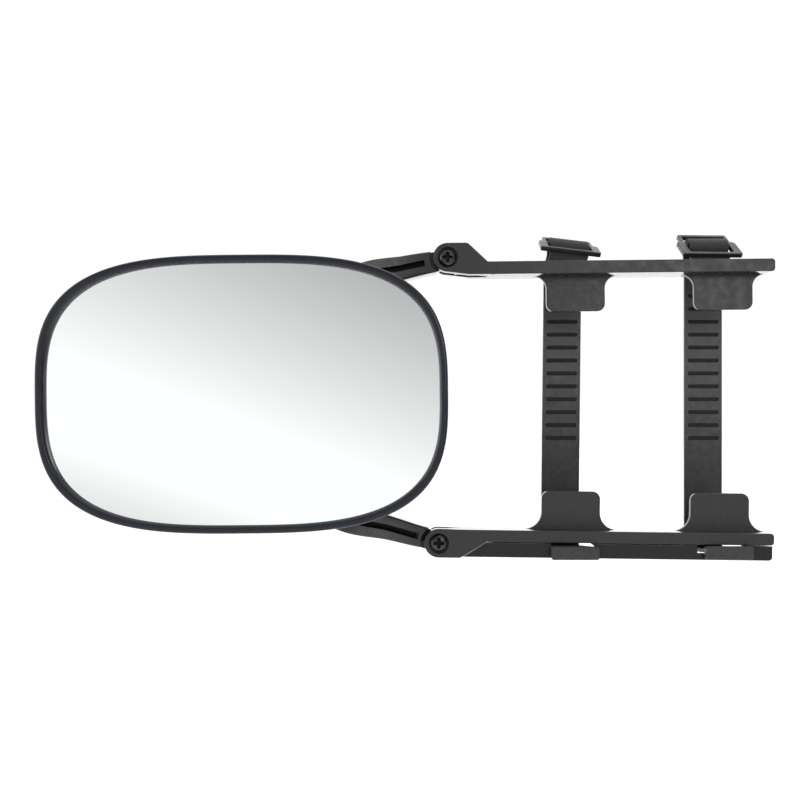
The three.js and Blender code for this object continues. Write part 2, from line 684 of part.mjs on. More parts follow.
function buildArm(arm) {
  const group = new THREE.Group();
  group.position.set(arm.pivot[0], 0, arm.pivot[1]);
  group.rotation.y = -arm.slope;
  group.scale.z = arm.flip;
  parts.add(group);
  add(`${arm.name}_arm`, armBody(arm), BLACK_PLASTIC(), group);
  add(`${arm.name}_pivot_screw`, pivotScrew(), DARK_STEEL(), group);
  const pivotWasher = washer(WASHER.radius, PIVOT_BORE + 0.1, ARM_REAR_Y + GAP, WASHER.thickness);
  add(`${arm.name}_pivot_washer`, pivotWasher, ZINC(), group);
  const nutY = ARM_REAR_Y + WASHER.thickness + 2 * GAP;
  add(`${arm.name}_pivot_nut`, hexNut(NUT.acrossFlats, PIVOT_BORE, nutY, NUT.height), ZINC(), group);
  ["left", "right"].forEach((side, i) => {
    add(`${arm.name}_${side}_hook_pad`, hookPad(arm.hooks[i], arm), RUBBER(), group);
  });
  return group;
}

buildArm(UPPER);
const lowerGroup = buildArm(LOWER);

// The rail hangs under the lower arm's channel. The straps' T-ends bear on its front.
function anchorRail() {
  const top = LOWER.outer + RAIL.gap;
  const wallRearY = RAIL.frontY + RAIL.thickness;
  const wallOutline = roundedShape([
    [LOWER.diagonalEnd - 0.2, top],
    [RAIL.end, top],
    [RAIL.end, RAIL.bottom, 2],
    [LOWER.bossTopEnd + 1.5, RAIL.bottom, 0.6],
  ].reverse());
  const wall = standing(wallOutline, RAIL.frontY, wallRearY);
  const web = block([LOWER.diagonalEnd + 1, RAIL.end - 1], [RAIL.frontY, RAIL.webRearY], [top, top + 1.3]);
  const pegs = RAIL_PEGS.map((x) =>
    block([x - 1.6, x + 1.6], [ARM_FRONT_Y + WALL + GAP, ARM_REAR_Y - WALL - GAP], [top - 3.4, top + 0.6]),
  );
  const windows = RAIL_WINDOWS.map(([low, high]) =>
    block([low, high], [RAIL.frontY - 1, RAIL.webRearY + 1], [top - 1, WINDOW_BOTTOM]),
  );
  return joined(cut(joined(wall, web), ...windows), ...pegs);
}
add("strap_anchor_rail", anchorRail(), BLACK_PLASTIC(), lowerGroup);

// ---------- straps and buckles ----------
const toVectors = (pairs) => pairs.map(([y, z]) => new THREE.Vector2(y, z));

// The strap runs from its T-end back under the lower arm, turns up and rises behind the host.
function strapBody(side) {
  const [low, high] = side.armOuter;
  const path = new THREE.Path();
  path.moveTo(T_END.rearY - 1, low - 3);
  path.lineTo(11, low - 6);
  path.bezierCurveTo(19, low - 7.6, LEG_Y, low - 8.4, LEG_Y, low - 2);
  path.lineTo(LEG_Y, high - SHELF_THICKNESS / 2);
  const [left, right] = [side.x - STRAP.width / 2, side.x + STRAP.width / 2];
  const band = solid(sideways(bandShape(path.getPoints(10), STRAP.thickness), left, right));
  const [teeX, half] = [side.x + 0.2 - side.lean * LEAN_FOOT_Z, T_END.width / 2];
  const teeTop = low - side.teeDrop;
  const tee = standing(
    rectangle(teeX - half, teeX + half, teeTop - T_END.height, teeTop, 0.9),
    T_END.frontY,
    T_END.rearY,
    3,
  );
  const faceY = LEG_Y - STRAP.thickness / 2;
  const grooves = Array.from({ length: STRAP_GROOVES.count }, (_, i) => {
    const z = STRAP_GROOVES.first + STRAP_GROOVES.pitch * i;
    return block(
      [side.x - STRAP.grooveWidth / 2, side.x + STRAP.grooveWidth / 2],
      [faceY - 1, faceY + STRAP_GROOVES.depth],
      [z - STRAP.grooveHeight / 2, z + STRAP.grooveHeight / 2],
    );
  });
  return cut(joined(band, tee), ...grooves).warp((place) => {
    place[0] += side.lean * Math.max(place[2], LEAN_FOOT_Z);
  });
}

// Above the upper arm the strap climbs through the buckle, folds over its bar and comes back down.
function strapLoop(side) {
  const high = side.armOuter[1];
  const [barY, barZ] = side.bar;
  const [across, up] = [Math.cos(side.tilt), Math.sin(side.tilt)];
  const fromBar = (along, above) => [barY + along * across - above * up, barZ + along * up + above * across];
  const folded = new THREE.SplineCurve(toVectors([
    [LEG_Y, high - SHELF_THICKNESS / 2 + GAP],
    [LEG_Y - 0.4, high + 4.5],
    fromBar(6.2, -3.2),
    fromBar(5, 0.4),
    fromBar(2.8, 2.3),
    fromBar(-0.3, 3.1),
    fromBar(-3.2, 2.1),
    fromBar(-4.7, -0.4),
    fromBar(-5, -3.4),
    [TAIL_Y + 0.3, high + 3.5],
    [TAIL_Y, high - SHELF_THICKNESS - 2.2],
  ])).getPoints(44);
  const [left, right] = [side.x - STRAP.width / 2, side.x + STRAP.width / 2];
  const twisted = sideways(bandShape(folded, STRAP.thickness - 0.2), left, right);
  const position = twisted.getAttribute("position");
  for (let i = 0; i < position.count; i++) {
    const lift = (side.x - position.getX(i)) * Math.tan(side.roll);
    const share = smooth((position.getZ(i) - high - 1) / 9);
    position.setX(i, position.getX(i) + side.shift * share);
    position.setZ(i, position.getZ(i) + lift * share);
  }
  const stopTop = high - SHELF_THICKNESS - GAP;
  const stop = block([left, right], [TAIL_Y - 2.2, TAIL_Y + 2.2], [stopTop - 2.6, stopTop]);
  return joined(solid(twisted), stop);
}

// The buckle is drawn flat, with its bar along X through the origin.
function buckleBody() {
  const { width, rearWidth, halfDepth, thickness } = BUCKLE;
  const [front, rear] = [width / 2, rearWidth / 2];
  const outline = roundedShape([
    [-front, -halfDepth, 1.2],
    [front, -halfDepth, 1.2],
    [front, 2.2, 0.9],
    [rear, 3.6, 0.6],
    [rear, halfDepth, 1.4],
    [-rear, halfDepth, 1.4],
    [-rear, 3.6, 0.6],
    [-front, 2.2, 0.9],
  ]);
  const plate = level(outline, -thickness / 2, thickness / 2, 2);
  const [near, far] = BUCKLE_SLOT;
  const half = BUCKLE.slotLength / 2;
  const slots = [[-far, -near], [near, far]].map(([low, high]) =>
    level(rectangle(-half, half, low, high, 0.6), -thickness, thickness, 2),
  );
  const barShape = new THREE.Shape();
  barShape.absarc(0, 0, BUCKLE_BAR_RADIUS, 0, 2 * Math.PI, false);
  const bar = solid(sideways(barShape, -half - 1, half + 1, 8));
  return joined(cut(plate, ...slots), bar);
}

for (const side of [LEFT, RIGHT]) {
  add(`${side.name}_strap`, strapBody(side), RUBBER());
  add(`${side.name}_strap_loop`, strapLoop(side), RUBBER());
  const buckle = add(`${side.name}_buckle`, buckleBody(), BLACK_PLASTIC());
  buckle.position.set(side.x + side.shift, ...side.bar);
  buckle.rotation.set(side.tilt, side.roll, side.yaw, "ZYX");
}

export default parts;
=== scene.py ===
"""Looks of the clip-on towing mirror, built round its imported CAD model.

Metres, +X along the arms away from the head, +Y away from the driver, +Z up. Shapes are drawn in
millimetres and scaled once, when a piece is made.
"""

import json
import math

import bpy
from mathutils import Matrix, Vector
from mathutils.geometry import tessellate_polygon


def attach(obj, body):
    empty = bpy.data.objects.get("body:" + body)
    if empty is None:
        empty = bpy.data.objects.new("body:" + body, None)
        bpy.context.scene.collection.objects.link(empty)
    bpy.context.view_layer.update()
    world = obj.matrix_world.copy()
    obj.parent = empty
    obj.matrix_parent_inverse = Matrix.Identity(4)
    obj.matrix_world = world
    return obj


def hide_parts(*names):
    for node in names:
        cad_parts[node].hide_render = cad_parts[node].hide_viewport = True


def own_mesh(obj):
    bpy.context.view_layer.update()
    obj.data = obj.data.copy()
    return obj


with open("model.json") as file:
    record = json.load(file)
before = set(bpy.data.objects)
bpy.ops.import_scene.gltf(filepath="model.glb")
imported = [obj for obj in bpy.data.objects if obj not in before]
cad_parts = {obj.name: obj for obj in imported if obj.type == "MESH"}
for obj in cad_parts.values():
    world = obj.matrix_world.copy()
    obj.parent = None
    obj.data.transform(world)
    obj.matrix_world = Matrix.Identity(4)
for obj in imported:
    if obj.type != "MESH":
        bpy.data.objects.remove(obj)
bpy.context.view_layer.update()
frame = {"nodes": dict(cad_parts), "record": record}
MM = 0.001

# ---------- camera ----------
camera_data = bpy.data.cameras.new("camera")
camera_data.lens = 36.45
camera_data.sensor_width = 36
camera_data.shift_y = 0.0375
camera_data.clip_start = 0.02
camera = bpy.data.objects.new("camera", camera_data)
camera.location = (-0.140, -0.464, -0.01667)
camera.rotation_euler = (math.pi / 2, 0, 0)
bpy.context.scene.collection.objects.link(camera)
bpy.context.scene.camera = camera
bpy.context.scene.view_settings.view_transform = "Standard"

# ---------- dimensions, in millimetres ----------
GAP = 0.3
HEAD_X, HEAD_Z = -223.4, 2.2
HEAD_HALF_WIDTH, HEAD_HALF_HEIGHT, HEAD_SQUARENESS = 108.8, 73.45, 3.1
HEAD_ROLL = math.radians(0.5)  # as the head stands at rest
OVAL_STEPS = 256
SEAM_Y = -28.0
SHELL_DEPTH = 25.0
SHELL_WALL = 2.4
GLASS_FRONT_Y, GLASS_RADIUS, GLASS_THICKNESS, GLASS_INSET = -37.9, 2400.0, 2.4, 3.2
HUB_FRONT_Y, HUB_RADIUS = 12.0, 14.0
HUB_PROUD = 0.06  # its flat faces stand this far off the links' faces, so the two never share a plane
LINK_START_WIDTH, LINK_GROWTH, LINK_WIDEST = 11.0, 0.11, 17.0
LINK_THICKNESS, LINK_FRONT_Y = 11.4, -13.0
LINK_GROOVE_WIDTH, LINK_GROOVE_DEPTH = 3.4, 4.0
NECK_WIDTH, NECK_REACH = 11.2, 13.0
SHOULDER_RADIUS = 9.9
UPPER_LINK = [(-113.5, 78.2), (-121, 77.2), (-138, 75), (-165, 71.5), (-195, 52), (-214, 24)]
LOWER_LINK = [(-118.4, -77.8), (-128, -76.5), (-146.6, -72.5), (-175, -67), (-200, -46), (-216, -20)]
UPPER_GROOVE, LOWER_GROOVE = (11 / 48, 39 / 48), (9 / 48, 39 / 48)
ARM_FRONT_Y, ARM_REAR_Y = -14.0, -2.0
SHELF_REAR_Y, SHELF_THICKNESS = 27.5, 2.4
WALL = 2.4
BOSS_RADIUS, COUNTERBORE_RADIUS, COUNTERBORE_DEPTH = 8.05, 5.7, 2.5
FORK_SLOT = (-9.4, -4.6)
TONGUE_RADIUS, TONGUE_BORE, ARM_BORE = 7.4, 2.6, 2.7
SLOT_HALF_WIDTH, SLOT_HALF_DEPTH, SLOT_CORNER = 12.6, 2.0, 1.2
PAD_HALF_WIDTH, PAD_HEIGHT, PAD_CORNER, PAD_FROM_TIP = 14.0, 15.5, 3.5, 2.0
RIBS, RIB_END = 8, 6.0
SCREW_HEAD_HEIGHT, SCREW_SHANK_RADIUS, SCREW_TIP_Y = 2.3, 2.45, 6.0
WASHER_RADIUS, WASHER_THICKNESS, NUT_ACROSS_FLATS, NUT_HEIGHT = 5.4, 0.8, 8.0, 4.0
BALL_RADIUS, NECK_RADIUS, FLANGE_RADIUS, THREAD_RADIUS = 9.0, 3.9, 6.6, 2.95
LINK_STATIONS = 240
HOOK_WIDTH, HOOK_FRONT_Y, HOOK_CORNER = 33.2, -5.0, 4.4
LEG_Y, TAIL_Y = 23.0, 9.0
UPPER = dict(
    name="upper", pivot=(-113.5, 79.4), slope=math.radians(0.6), flip=1,
    outer=-2.5, inner=-9.6, boss_top_end=11.2, diagonal_end=22.3, end=182.1,
    hooks=(72.9, 156.7), hook_tip=-29.6, flare=7.0,
    straps=(70.9, 155.5), slot_depths=(TAIL_Y, LEG_Y),
)
LOWER = dict(
    name="lower", pivot=(-118.4, -79.6), slope=math.radians(-0.75), flip=-1,
    outer=-1.05, inner=-7.7, boss_top_end=12.3, diagonal_end=26.5, end=186.4,
    hooks=(75.0, 159.5), hook_tip=-29.2, flare=9.4,
    straps=(74.8, 160.4), slot_depths=(LEG_Y,),
)
RAIL = {"front": -13.2, "thickness": 2.8, "gap": 0.5, "bottom": 7.5, "end": 185.8, "web_rear": -3.0}
RAIL_WINDOWS = ((62.6, 87.0), (144.0, 172.5))
WINDOW_BOTTOM = 3.95
RAIL_PEGS = (42, 108, 128)
STRAP_WIDTH, STRAP_THICKNESS = 22.5, 2.3
GROOVE_HALF_WIDTH, GROOVE_HEIGHT, GROOVE_DEPTH = 9.15, 2.4, 0.7
GROOVE_FIRST_Z, GROOVE_PITCH, GROOVE_COUNT = -21.5, 7.77, 12
LEAN_FOOT_Z = -75.0
BUCKLE_HALF_WIDTH, BUCKLE_REAR_HALF_WIDTH, BUCKLE_HALF_DEPTH = 17.5, 14.7, 12.0
BUCKLE_HALF_THICKNESS, BUCKLE_SLOT_HALF, BUCKLE_SLOT, BUCKLE_BAR_RADIUS = 1.4, 12.7, (0.8, 9.3), 1.6
T_END_WIDTH, T_END_HEIGHT, T_END_FRONT_Y, T_END_REAR_Y = 26.2, 7.2, -17.4, -13.5
SIDES = {
    "left": dict(
        x=-43.2, low=-79.5, high=77.65, tee_drop=1.8, shift=2.6, lean=0.0107,
        bar=(14.3, 91.6), tilt=math.radians(27), roll=math.radians(6.7), yaw=0.0,
    ),
    "right": dict(
        x=42.0, low=-80.65, high=78.55, tee_drop=0.5, shift=-0.9, lean=0.0,
        bar=(14.3, 91.9), tilt=math.radians(39.5), roll=0.0, yaw=math.radians(2.5),
    ),
}


# ---------- materials ----------
def add_node(tree, kind, inputs, operation=None):
    """A new shader node. Each input is a constant or another node's output."""
    node = tree.nodes.new("ShaderNode" + kind)
    if operation:
        node.operation = operation
    for key, value in inputs.items():
        if isinstance(value, bpy.types.NodeSocket):
            tree.links.new(value, node.inputs[key])
        else:
            node.inputs[key].default_value = value
    return node


class Nodes:
    """A material under construction: its tree, its shader and the few nodes that every look uses."""

    def __init__(self, name, color, roughness, metallic=0.0):
        self.material = bpy.data.materials.new(name)
        self.material.use_nodes = True
        self.tree = self.material.node_tree
        self.shader = self.tree.nodes["Principled BSDF"]
        self.shader.inputs["Base Color"].default_value = (*color, 1)
        self.set(Roughness=roughness, Metallic=metallic)
        self.place = add_node(self.tree, "TexCoord", {}).outputs["Object"]

    def set(self, **values):
        for name, value in values.items():
            self.shader.inputs[name.replace("_", " ")].default_value = value

    def feed(self, output, socket):
        self.tree.links.new(output, self.shader.inputs[socket])

    def pattern(self, size, detail=None):
        """Noise whose features are about size millimetres across, or cells where no detail is given."""
        inputs = {"Vector": self.place, "Scale": 1 / (size * MM)}
        if detail is None:
            return add_node(self.tree, "TexVoronoi", inputs).outputs["Distance"]
        return add_node(self.tree, "TexNoise", {**inputs, "Detail": detail}).outputs["Fac"]

    def height(self, low, high):
        """0 at the height low to 1 at high, in millimetres, broken up by noise."""
        z = add_node(self.tree, "SeparateXYZ", {0: self.place}).outputs["Z"]
        share = self.ranged(z, 0, 1, low * MM, high * MM)
        broken = {0: self.pattern(5, 6), 1: 0.5, 2: share}
        mixed = add_node(self.tree, "Math", broken, "MULTIPLY_ADD").outputs[0]
        return add_node(self.tree, "Math", {0: mixed, 1: 0.25}, "SUBTRACT").outputs[0]

    def ranged(self, value, low, high, start=0.35, end=0.65):
        """Value spread over low to high."""
        inputs = {"Value": value, "From Min": start, "From Max": end, "To Min": low, "To Max": high}
        return add_node(self.tree, "MapRange", inputs).outputs["Result"]

    def tint(self, value, dark, light):
        """Base colour between two colours."""
        node = add_node(self.tree, "ValToRGB", {"Fac": value})
        for element, position, color in zip(node.color_ramp.elements, (0.3, 0.7), (dark, light)):
            element.position = position
            element.color = (*color, 1)
        self.feed(node.outputs["Color"], "Base Color")

    def rough(self, value, low, high):
        self.feed(self.ranged(value, low, high), "Roughness")

    def bump(self, value, height, strength=1.0):
        """Relief of about height millimetres, laid over the relief that is already there."""
        inputs = {"Height": value, "Distance": height * MM, "Strength": strength}
        taken = self.shader.inputs["Normal"].links
        if taken:
            inputs["Normal"] = taken[0].from_socket
        self.feed(add_node(self.tree, "Bump", inputs).outputs["Normal"], "Normal")


def make_look(
    name, color, roughness, metallic=0.0, tint=None, rough=None, bumps=(), by_height=False, **sockets
):
    """A look's material. A layer is its pattern's numbers and then two values: a tint's colours, the
    ends of a roughness, or a relief's height and strength. By height, the tint runs up the object."""
    look = Nodes(name, color, roughness, metallic)
    if tint:
        spread = look.height if by_height else look.pattern
        look.tint(spread(*tint[0]), *tint[1:])
    if rough:
        look.rough(look.pattern(*rough[0]), *rough[1:])
    for numbers, *values in bumps:
        look.bump(look.pattern(*numbers), *values)
    look.set(**sockets)
    return look.material


LOOKS = {
    "black_plastic": make_look(
        "grained_plastic", (0.017, 0.017, 0.0172), 0.38, Specular_IOR_Level=0.42,
        tint=((1.1, 4), (0.0125, 0.0125, 0.0127), (0.0215, 0.0215, 0.0217)),
        rough=((5, 6), 0.29, 0.43), bumps=[((30, 2), 0.05, 0.5), ((0.6,), 0.03, 0.9)],
    ),
    "bezel_plastic": make_look(
        "satin_bezel", (0.0055, 0.0075, 0.0125), 0.24, Specular_IOR_Level=0.36,
        tint=((20, 4), (0.0045, 0.0062, 0.0108), (0.0068, 0.009, 0.0145)),
        rough=((7, 6), 0.2, 0.28), bumps=[((1.5, 3), 0.003, 0.4)],
    ),
    # The rubber's tint runs lighter up the strap, from a height of -70 mm to 60 mm: a painted highlight.
    "rubber": make_look(
        "moulded_rubber_painted_highlight", (0.022, 0.022, 0.023), 0.62, Sheen_Weight=0.05, Sheen_Roughness=0.5,
        by_height=True, tint=((-70, 60), (0.0195, 0.0195, 0.0205), (0.05, 0.05, 0.051)),
        rough=((3, 6), 0.52, 0.72), bumps=[((0.35, 3), 0.02, 0.55), ((12, 2), 0.05, 0.4)],
    ),
    "mirror_glass": make_look(
        "mirror_coating", (0.955, 0.965, 0.965), 0.012, 1.0,
        rough=((26, 6), 0.006, 0.02), bumps=[((60, 1), 0.002, 0.15)],
    ),
    "zinc_steel": make_look(
        "zinc_plate", (0.56, 0.57, 0.59), 0.3, 1.0,
        tint=((2.5, 5), (0.46, 0.47, 0.49), (0.63, 0.64, 0.66)),
        rough=((1.2, 5), 0.22, 0.42), bumps=[((0.25, 3), 0.004, 0.5)],
    ),
    "dark_steel": make_look(
        "screw_steel", (0.05, 0.052, 0.055), 0.25, 1.0,
        tint=((1.4, 5), (0.035, 0.037, 0.04), (0.065, 0.067, 0.07)),
        rough=((0.7, 5), 0.2, 0.42), bumps=[((0.22, 3), 0.004, 0.5)],
    ),
    "liner_plastic": make_look(
        "acetal", (0.68, 0.67, 0.61), 0.35, Subsurface_Weight=0.05,
        tint=((6, 3), (0.64, 0.63, 0.57), (0.72, 0.71, 0.66)),
        rough=((2, 4), 0.3, 0.42), bumps=[((0.6, 2), 0.004, 0.4)],
    ),
    "foam": make_look(
        "foam", (0.07, 0.07, 0.07), 0.9,
        tint=((1.2, 4), (0.05, 0.05, 0.05), (0.1, 0.1, 0.1)), bumps=[((0.7,), 0.15, 0.8)],
    ),
}
# Painted shade on the floors of grooves and recesses: a darker colour, and a duller finish, than the plastic
# round them.
RECESS_PAINTED_SHADE = make_look(
    "recess_painted_shade", (0.008, 0.008, 0.008), 0.85, Specular_IOR_Level=0.15,
    tint=((2, 4), (0.006, 0.006, 0.006), (0.011, 0.011, 0.011)), bumps=[((0.5, 3), 0.03, 0.6)],
)
# Painted shade in the straps' moulded grooves: darker and duller than the band around them.
STRAP_GROOVE_PAINTED_SHADE = make_look(
    "strap_groove_painted_shade", (0.014, 0.014, 0.015), 0.8, Specular_IOR_Level=0.2,
    tint=((1.5, 4), (0.01, 0.01, 0.011), (0.019, 0.019, 0.02)), bumps=[((0.8, 3), 0.05, 0.7)],
)
# The mouldings' smooth sides.
SHINY_PLASTIC = make_look(
    "shiny_plastic", (0.012, 0.0125, 0.0135), 0.16,
    tint=((14, 5), (0.009, 0.0095, 0.0102), (0.015, 0.0155, 0.0165)),
    rough=((5, 6), 0.12, 0.2), bumps=[((9, 3), 0.01, 0.5)],
)
# A painted highlight: plastic made pale along an edge that catches the light.
RAIL_EDGE_PAINTED_HIGHLIGHT = make_look(
    "rail_edge_painted_highlight", (0.16, 0.16, 0.165), 0.5, tint=((4, 4), (0.1, 0.1, 0.105), (0.22, 0.22, 0.225))
)
# Painted shade on the rail, which stands back under the lower arm's flange: its faces are coloured blacker
# than the arms'.
RAIL_PAINTED_SHADE = make_look(
    "rail_painted_shade", (0.007, 0.007, 0.0072), 0.42, Specular_IOR_Level=0.3,
    tint=((1.1, 4), (0.004, 0.004, 0.0042), (0.0105, 0.0105, 0.0107)), bumps=[((0.6,), 0.03, 0.9)],
)
# The straps' folded ends, ribbed, and without the painted highlight that lightens the bands towards the top.
RIBBED_RUBBER = make_look(
    "ribbed_rubber", (0.018, 0.018, 0.018), 0.66,
    tint=((3, 6), (0.013, 0.013, 0.013), (0.023, 0.023, 0.023)), bumps=[((0.35, 3), 0.02, 0.55)],
)

for subpart in frame["record"]["subparts"]:
    node = frame["nodes"][subpart["node"]]
    node.data.materials.clear()
    node.data.materials.append(LOOKS[subpart["material_slot"]])


# ---------- mesh building ----------
class Shape:
    """Vertices in millimetres and faces, gathered from closed bodies that may run into each other."""

    def __init__(self):
        self.vertices = []
        self.faces = []

    def add(self, vertices, faces, matrix=None):
        matrix = matrix or Matrix.Identity(4)
        start = len(self.vertices)
        self.vertices.extend(matrix @ Vector(v) for v in vertices)
        turned_over = matrix.to_3x3().determinant() < 0
        for face in faces:
            corners = [start + i for i in face]
            self.faces.append(corners[::-1] if turned_over else corners)
        return self

    def piece(self, name, slot, body, nodes, sharp=38, flat_faces=True):
        mesh = bpy.data.meshes.new(name)
        mesh.from_pydata([v * MM for v in self.vertices], [], self.faces)
        mesh.validate()
        mesh.materials.append(LOOKS[slot])
        mesh.shade_smooth()
        mesh.set_sharp_from_angle(angle=math.radians(sharp))
        piece = bpy.data.objects.new(name, mesh)
        bpy.context.scene.collection.objects.link(piece)
        if flat_faces:
            weighted = piece.modifiers.new("flat faces stay flat", "WEIGHTED_NORMAL")
            weighted.keep_sharp = True
        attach(piece, body)
        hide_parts(*nodes)
        return piece


def paint(piece, material, chosen):
    """Gives another material to the faces chosen by their centre and normal."""
    piece.data.materials.append(material)
    index = len(piece.data.materials) - 1
    for face in piece.data.polygons:
        if chosen(face.center / MM, face.normal):
            face.material_index = index


def is_edge(centre, normal):
    """The sides of a moulding are as smooth as the mould's steel; only its front and back are grained."""
    return abs(normal.y) < 0.6


def lerp(a, b, t):
    return a + (b - a) * t


def smooth(t):
    held = min(max(t, 0.0), 1.0)
    return held * held * (3 - 2 * held)


def arc(x, y, radius, start, end, steps=8):
    """Points of an arc, angles in degrees, both ends included."""
    angles = [math.radians(lerp(start, end, i / steps)) for i in range(steps + 1)]
    return [(x + radius * math.cos(a), y + radius * math.sin(a)) for a in angles]


def rounded(corners, steps=6):
    """A polygon's points, each corner (x, y, radius) rounded by an arc."""
    points = []
    count = len(corners)
    for i, corner in enumerate(corners):
        here = Vector(corner[:2])
        radius = corner[2] if len(corner) > 2 else 0
        if not radius:
            points.append(tuple(here))
            continue
        before = Vector(corners[i - 1][:2])
        after = Vector(corners[(i + 1) % count][:2])
        arrive = (here - before).normalized()
        leave = (after - here).normalized()
        turn = math.atan2(arrive.x * leave.y - arrive.y * leave.x, arrive.dot(leave))
        start = here - arrive * radius * math.tan(abs(turn) / 2)
        side = math.copysign(1, turn)
        centre = start + Vector((-arrive.y, arrive.x)) * side * radius
        first = math.atan2(start.y - centre.y, start.x - centre.x)
        for k in range(steps + 1):
            angle = first + turn * k / steps
            points.append((centre.x + radius * math.cos(angle), centre.y + radius * math.sin(angle)))
    return points


def rectangle(low_x, high_x, low_y, high_y, radius=0, steps=5):
    corners = [(low_x, low_y), (high_x, low_y), (high_x, high_y), (low_x, high_y)]
    return rounded([(*corner, radius) for corner in corners], steps)


def circle(x, y, radius, steps=48):
    return arc(x, y, radius, 0, 360, steps)[:-1]


def signed_area(points):
    return sum(a[0] * b[1] - b[0] * a[1] for a, b in zip(points, points[1:] + points[:1])) / 2


def drawn_in(points, distance):
    """The outline moved to the left of its travel by distance."""
    moved = []
    count = len(points)
    for i in range(count):
        here = Vector(points[i])
        arrive = (here - Vector(points[i - 1])).normalized()
        leave = (Vector(points[(i + 1) % count]) - here).normalized()
        first, second = Vector((-arrive.y, arrive.x)), Vector((-leave.y, leave.x))
        middle = (first + second).normalized() if (first + second).length > 1e-6 else first
        stretch = 1 / max(middle.dot(first), 0.45)
        moved.append(here + middle * distance * stretch)
    return [tuple(p) for p in moved]


STAND = Matrix(((1, 0, 0, 0), (0, 0, -1, 0), (0, 1, 0, 0), (0, 0, 0, 1)))
SIDEWAYS = Matrix(((0, 0, 1, 0), (1, 0, 0, 0), (0, 1, 0, 0), (0, 0, 0, 1)))


def plate(outline, low, high, edge=0.35, holes=()):
    """An outline and its holes filled from low to high along +Z, its edges rounded by edge."""
    loops = [outline if signed_area(outline) > 0 else outline[::-1]]
    loops += [hole if signed_area(hole) < 0 else hole[::-1] for hole in holes]
    edge = min(edge, (high - low) / 2.05)
    quarter = [math.radians(angle) for angle in (0, 30, 60, 90)]
    profile = [(edge * (1 - math.sin(a)), low + edge * (1 - math.cos(a))) for a in quarter]
    profile += [(inset, low + high - z) for inset, z in reversed(profile)]
    vertices, faces, caps = [], [], []
    for loop in loops:
        count = len(loop)
        start = len(vertices)
        for inset, z in profile:
            vertices.extend((x, y, z) for x, y in drawn_in(loop, inset))
        for row in range(len(profile) - 1):
            for i in range(count):
                a = start + row * count + i
                b = start + row * count + (i + 1) % count
                faces.append([a, b, b + count, a + count])
        caps.append((start, start + (len(profile) - 1) * count, count))
    for which, upside in ((0, False), (1, True)):
        flat = [[Vector((*vertices[cap[which] + i][:2], 0)) for i in range(cap[2])] for cap in caps]
        index = [cap[which] + i for cap in caps for i in range(cap[2])]
        for triangle in tessellate_polygon(flat):
            corners = [index[i] for i in triangle]
            area = signed_area([vertices[c][:2] for c in corners])
            if (area > 0) != upside:
                corners.reverse()
            faces.append(corners)
    return vertices, faces


def standing(outline, front_y, rear_y, edge=0.35, holes=()):
    """A plate whose outline is drawn in XZ and that runs from front_y to rear_y."""
    vertices, faces = plate(outline, -rear_y, -front_y, edge, holes)
    return [STAND @ Vector(v) for v in vertices], faces


def sideways(outline, low_x, high_x, edge=0.35, holes=()):
    """A plate whose outline is drawn in YZ and that runs from low_x to high_x."""
    vertices, faces = plate(outline, low_x, high_x, edge, holes)
    return [SIDEWAYS @ Vector(v) for v in vertices], faces


def block(x, y, z, edge=0.25):
    return plate(rectangle(x[0], x[1], y[0], y[1]), z[0], z[1], edge)


def loft(rings, endless=False):
    """Rings of equal length joined by faces. Their ends are closed, or the last meets the first."""
    count = len(rings[0])
    vertices = [p for ring in rings for p in ring]
    faces = []
    pairs = len(rings) if endless else len(rings) - 1
    for i in range(pairs):
        near, far = i * count, (i + 1) % len(rings) * count
        for j in range(count):
            k = (j + 1) % count
            faces.append([near + j, near + k, far + k, far + j])
    if not endless:
        faces.append(list(range(count))[::-1])
        faces.append([(len(rings) - 1) * count + j for j in range(count)])
    return vertices, faces


def facing_out(vertices, faces):
    """The same body with its faces turned to point outwards."""
    volume = 0.0
    for face in faces:
        first = Vector(vertices[face[0]])
        for a, b in zip(face[1:], face[2:]):
            volume += first.dot(Vector(vertices[a]).cross(Vector(vertices[b])))
    return (vertices, faces) if volume > 0 else (vertices, [face[::-1] for face in faces])


def turned(profile, steps=64, x=0.0, z=0.0):
    """A body turned about the Y axis through (x, z) from (radius, y) pairs, closed on itself."""
    spokes = circle(0, 0, 1, steps)
    rings = [[(x + radius * c, y, z + radius * s) for c, s in spokes] for radius, y in profile]
    return facing_out(*loft(rings, endless=True))


def slab(front, back):
    """A closed body between two grids of points, front[row][column] and back[row][column]."""
    rows, columns = len(front), len(front[0])
    vertices = [p for row in front for p in row] + [p for row in back for p in row]
    behind = rows * columns
    faces = []
    for i in range(rows - 1):
        for j in range(columns - 1):
            a = i * columns + j
            quad = [a, a + 1, a + 1 + columns, a + columns]
            faces.append(quad)
            faces.append([behind + c for c in quad[::-1]])
    last = behind - columns
    rim = [pair for j in range(columns - 1) for pair in ((j + 1, j), (last + j, last + j + 1))]
    for a in range(0, last, columns):
        rim += [(a, a + columns), (a + 2 * columns - 1, a + columns - 1)]
    faces += [[a, b, behind + b, behind + a] for a, b in rim]
    return facing_out(vertices, faces)


def spline(points, count):
    """Evenly numbered points of a Catmull-Rom curve through plane points."""
    last = len(points) - 1
    found = []
    for k in range(count + 1):
        place = last * k / count
        i = min(int(place), last - 1)
        t = place - i
        p0, p1, p2, p3 = (Vector(points[min(max(i + d, 0), last)]) for d in (-1, 0, 1, 2))
        v0, v1 = (p2 - p0) / 2, (p3 - p1) / 2
        cubed, squared = 2 * p1 - 2 * p2 + v0 + v1, 3 * p2 - 3 * p1 - 2 * v0 - v1
        found.append(cubed * t**3 + squared * t**2 + v0 * t + p1)
    return found


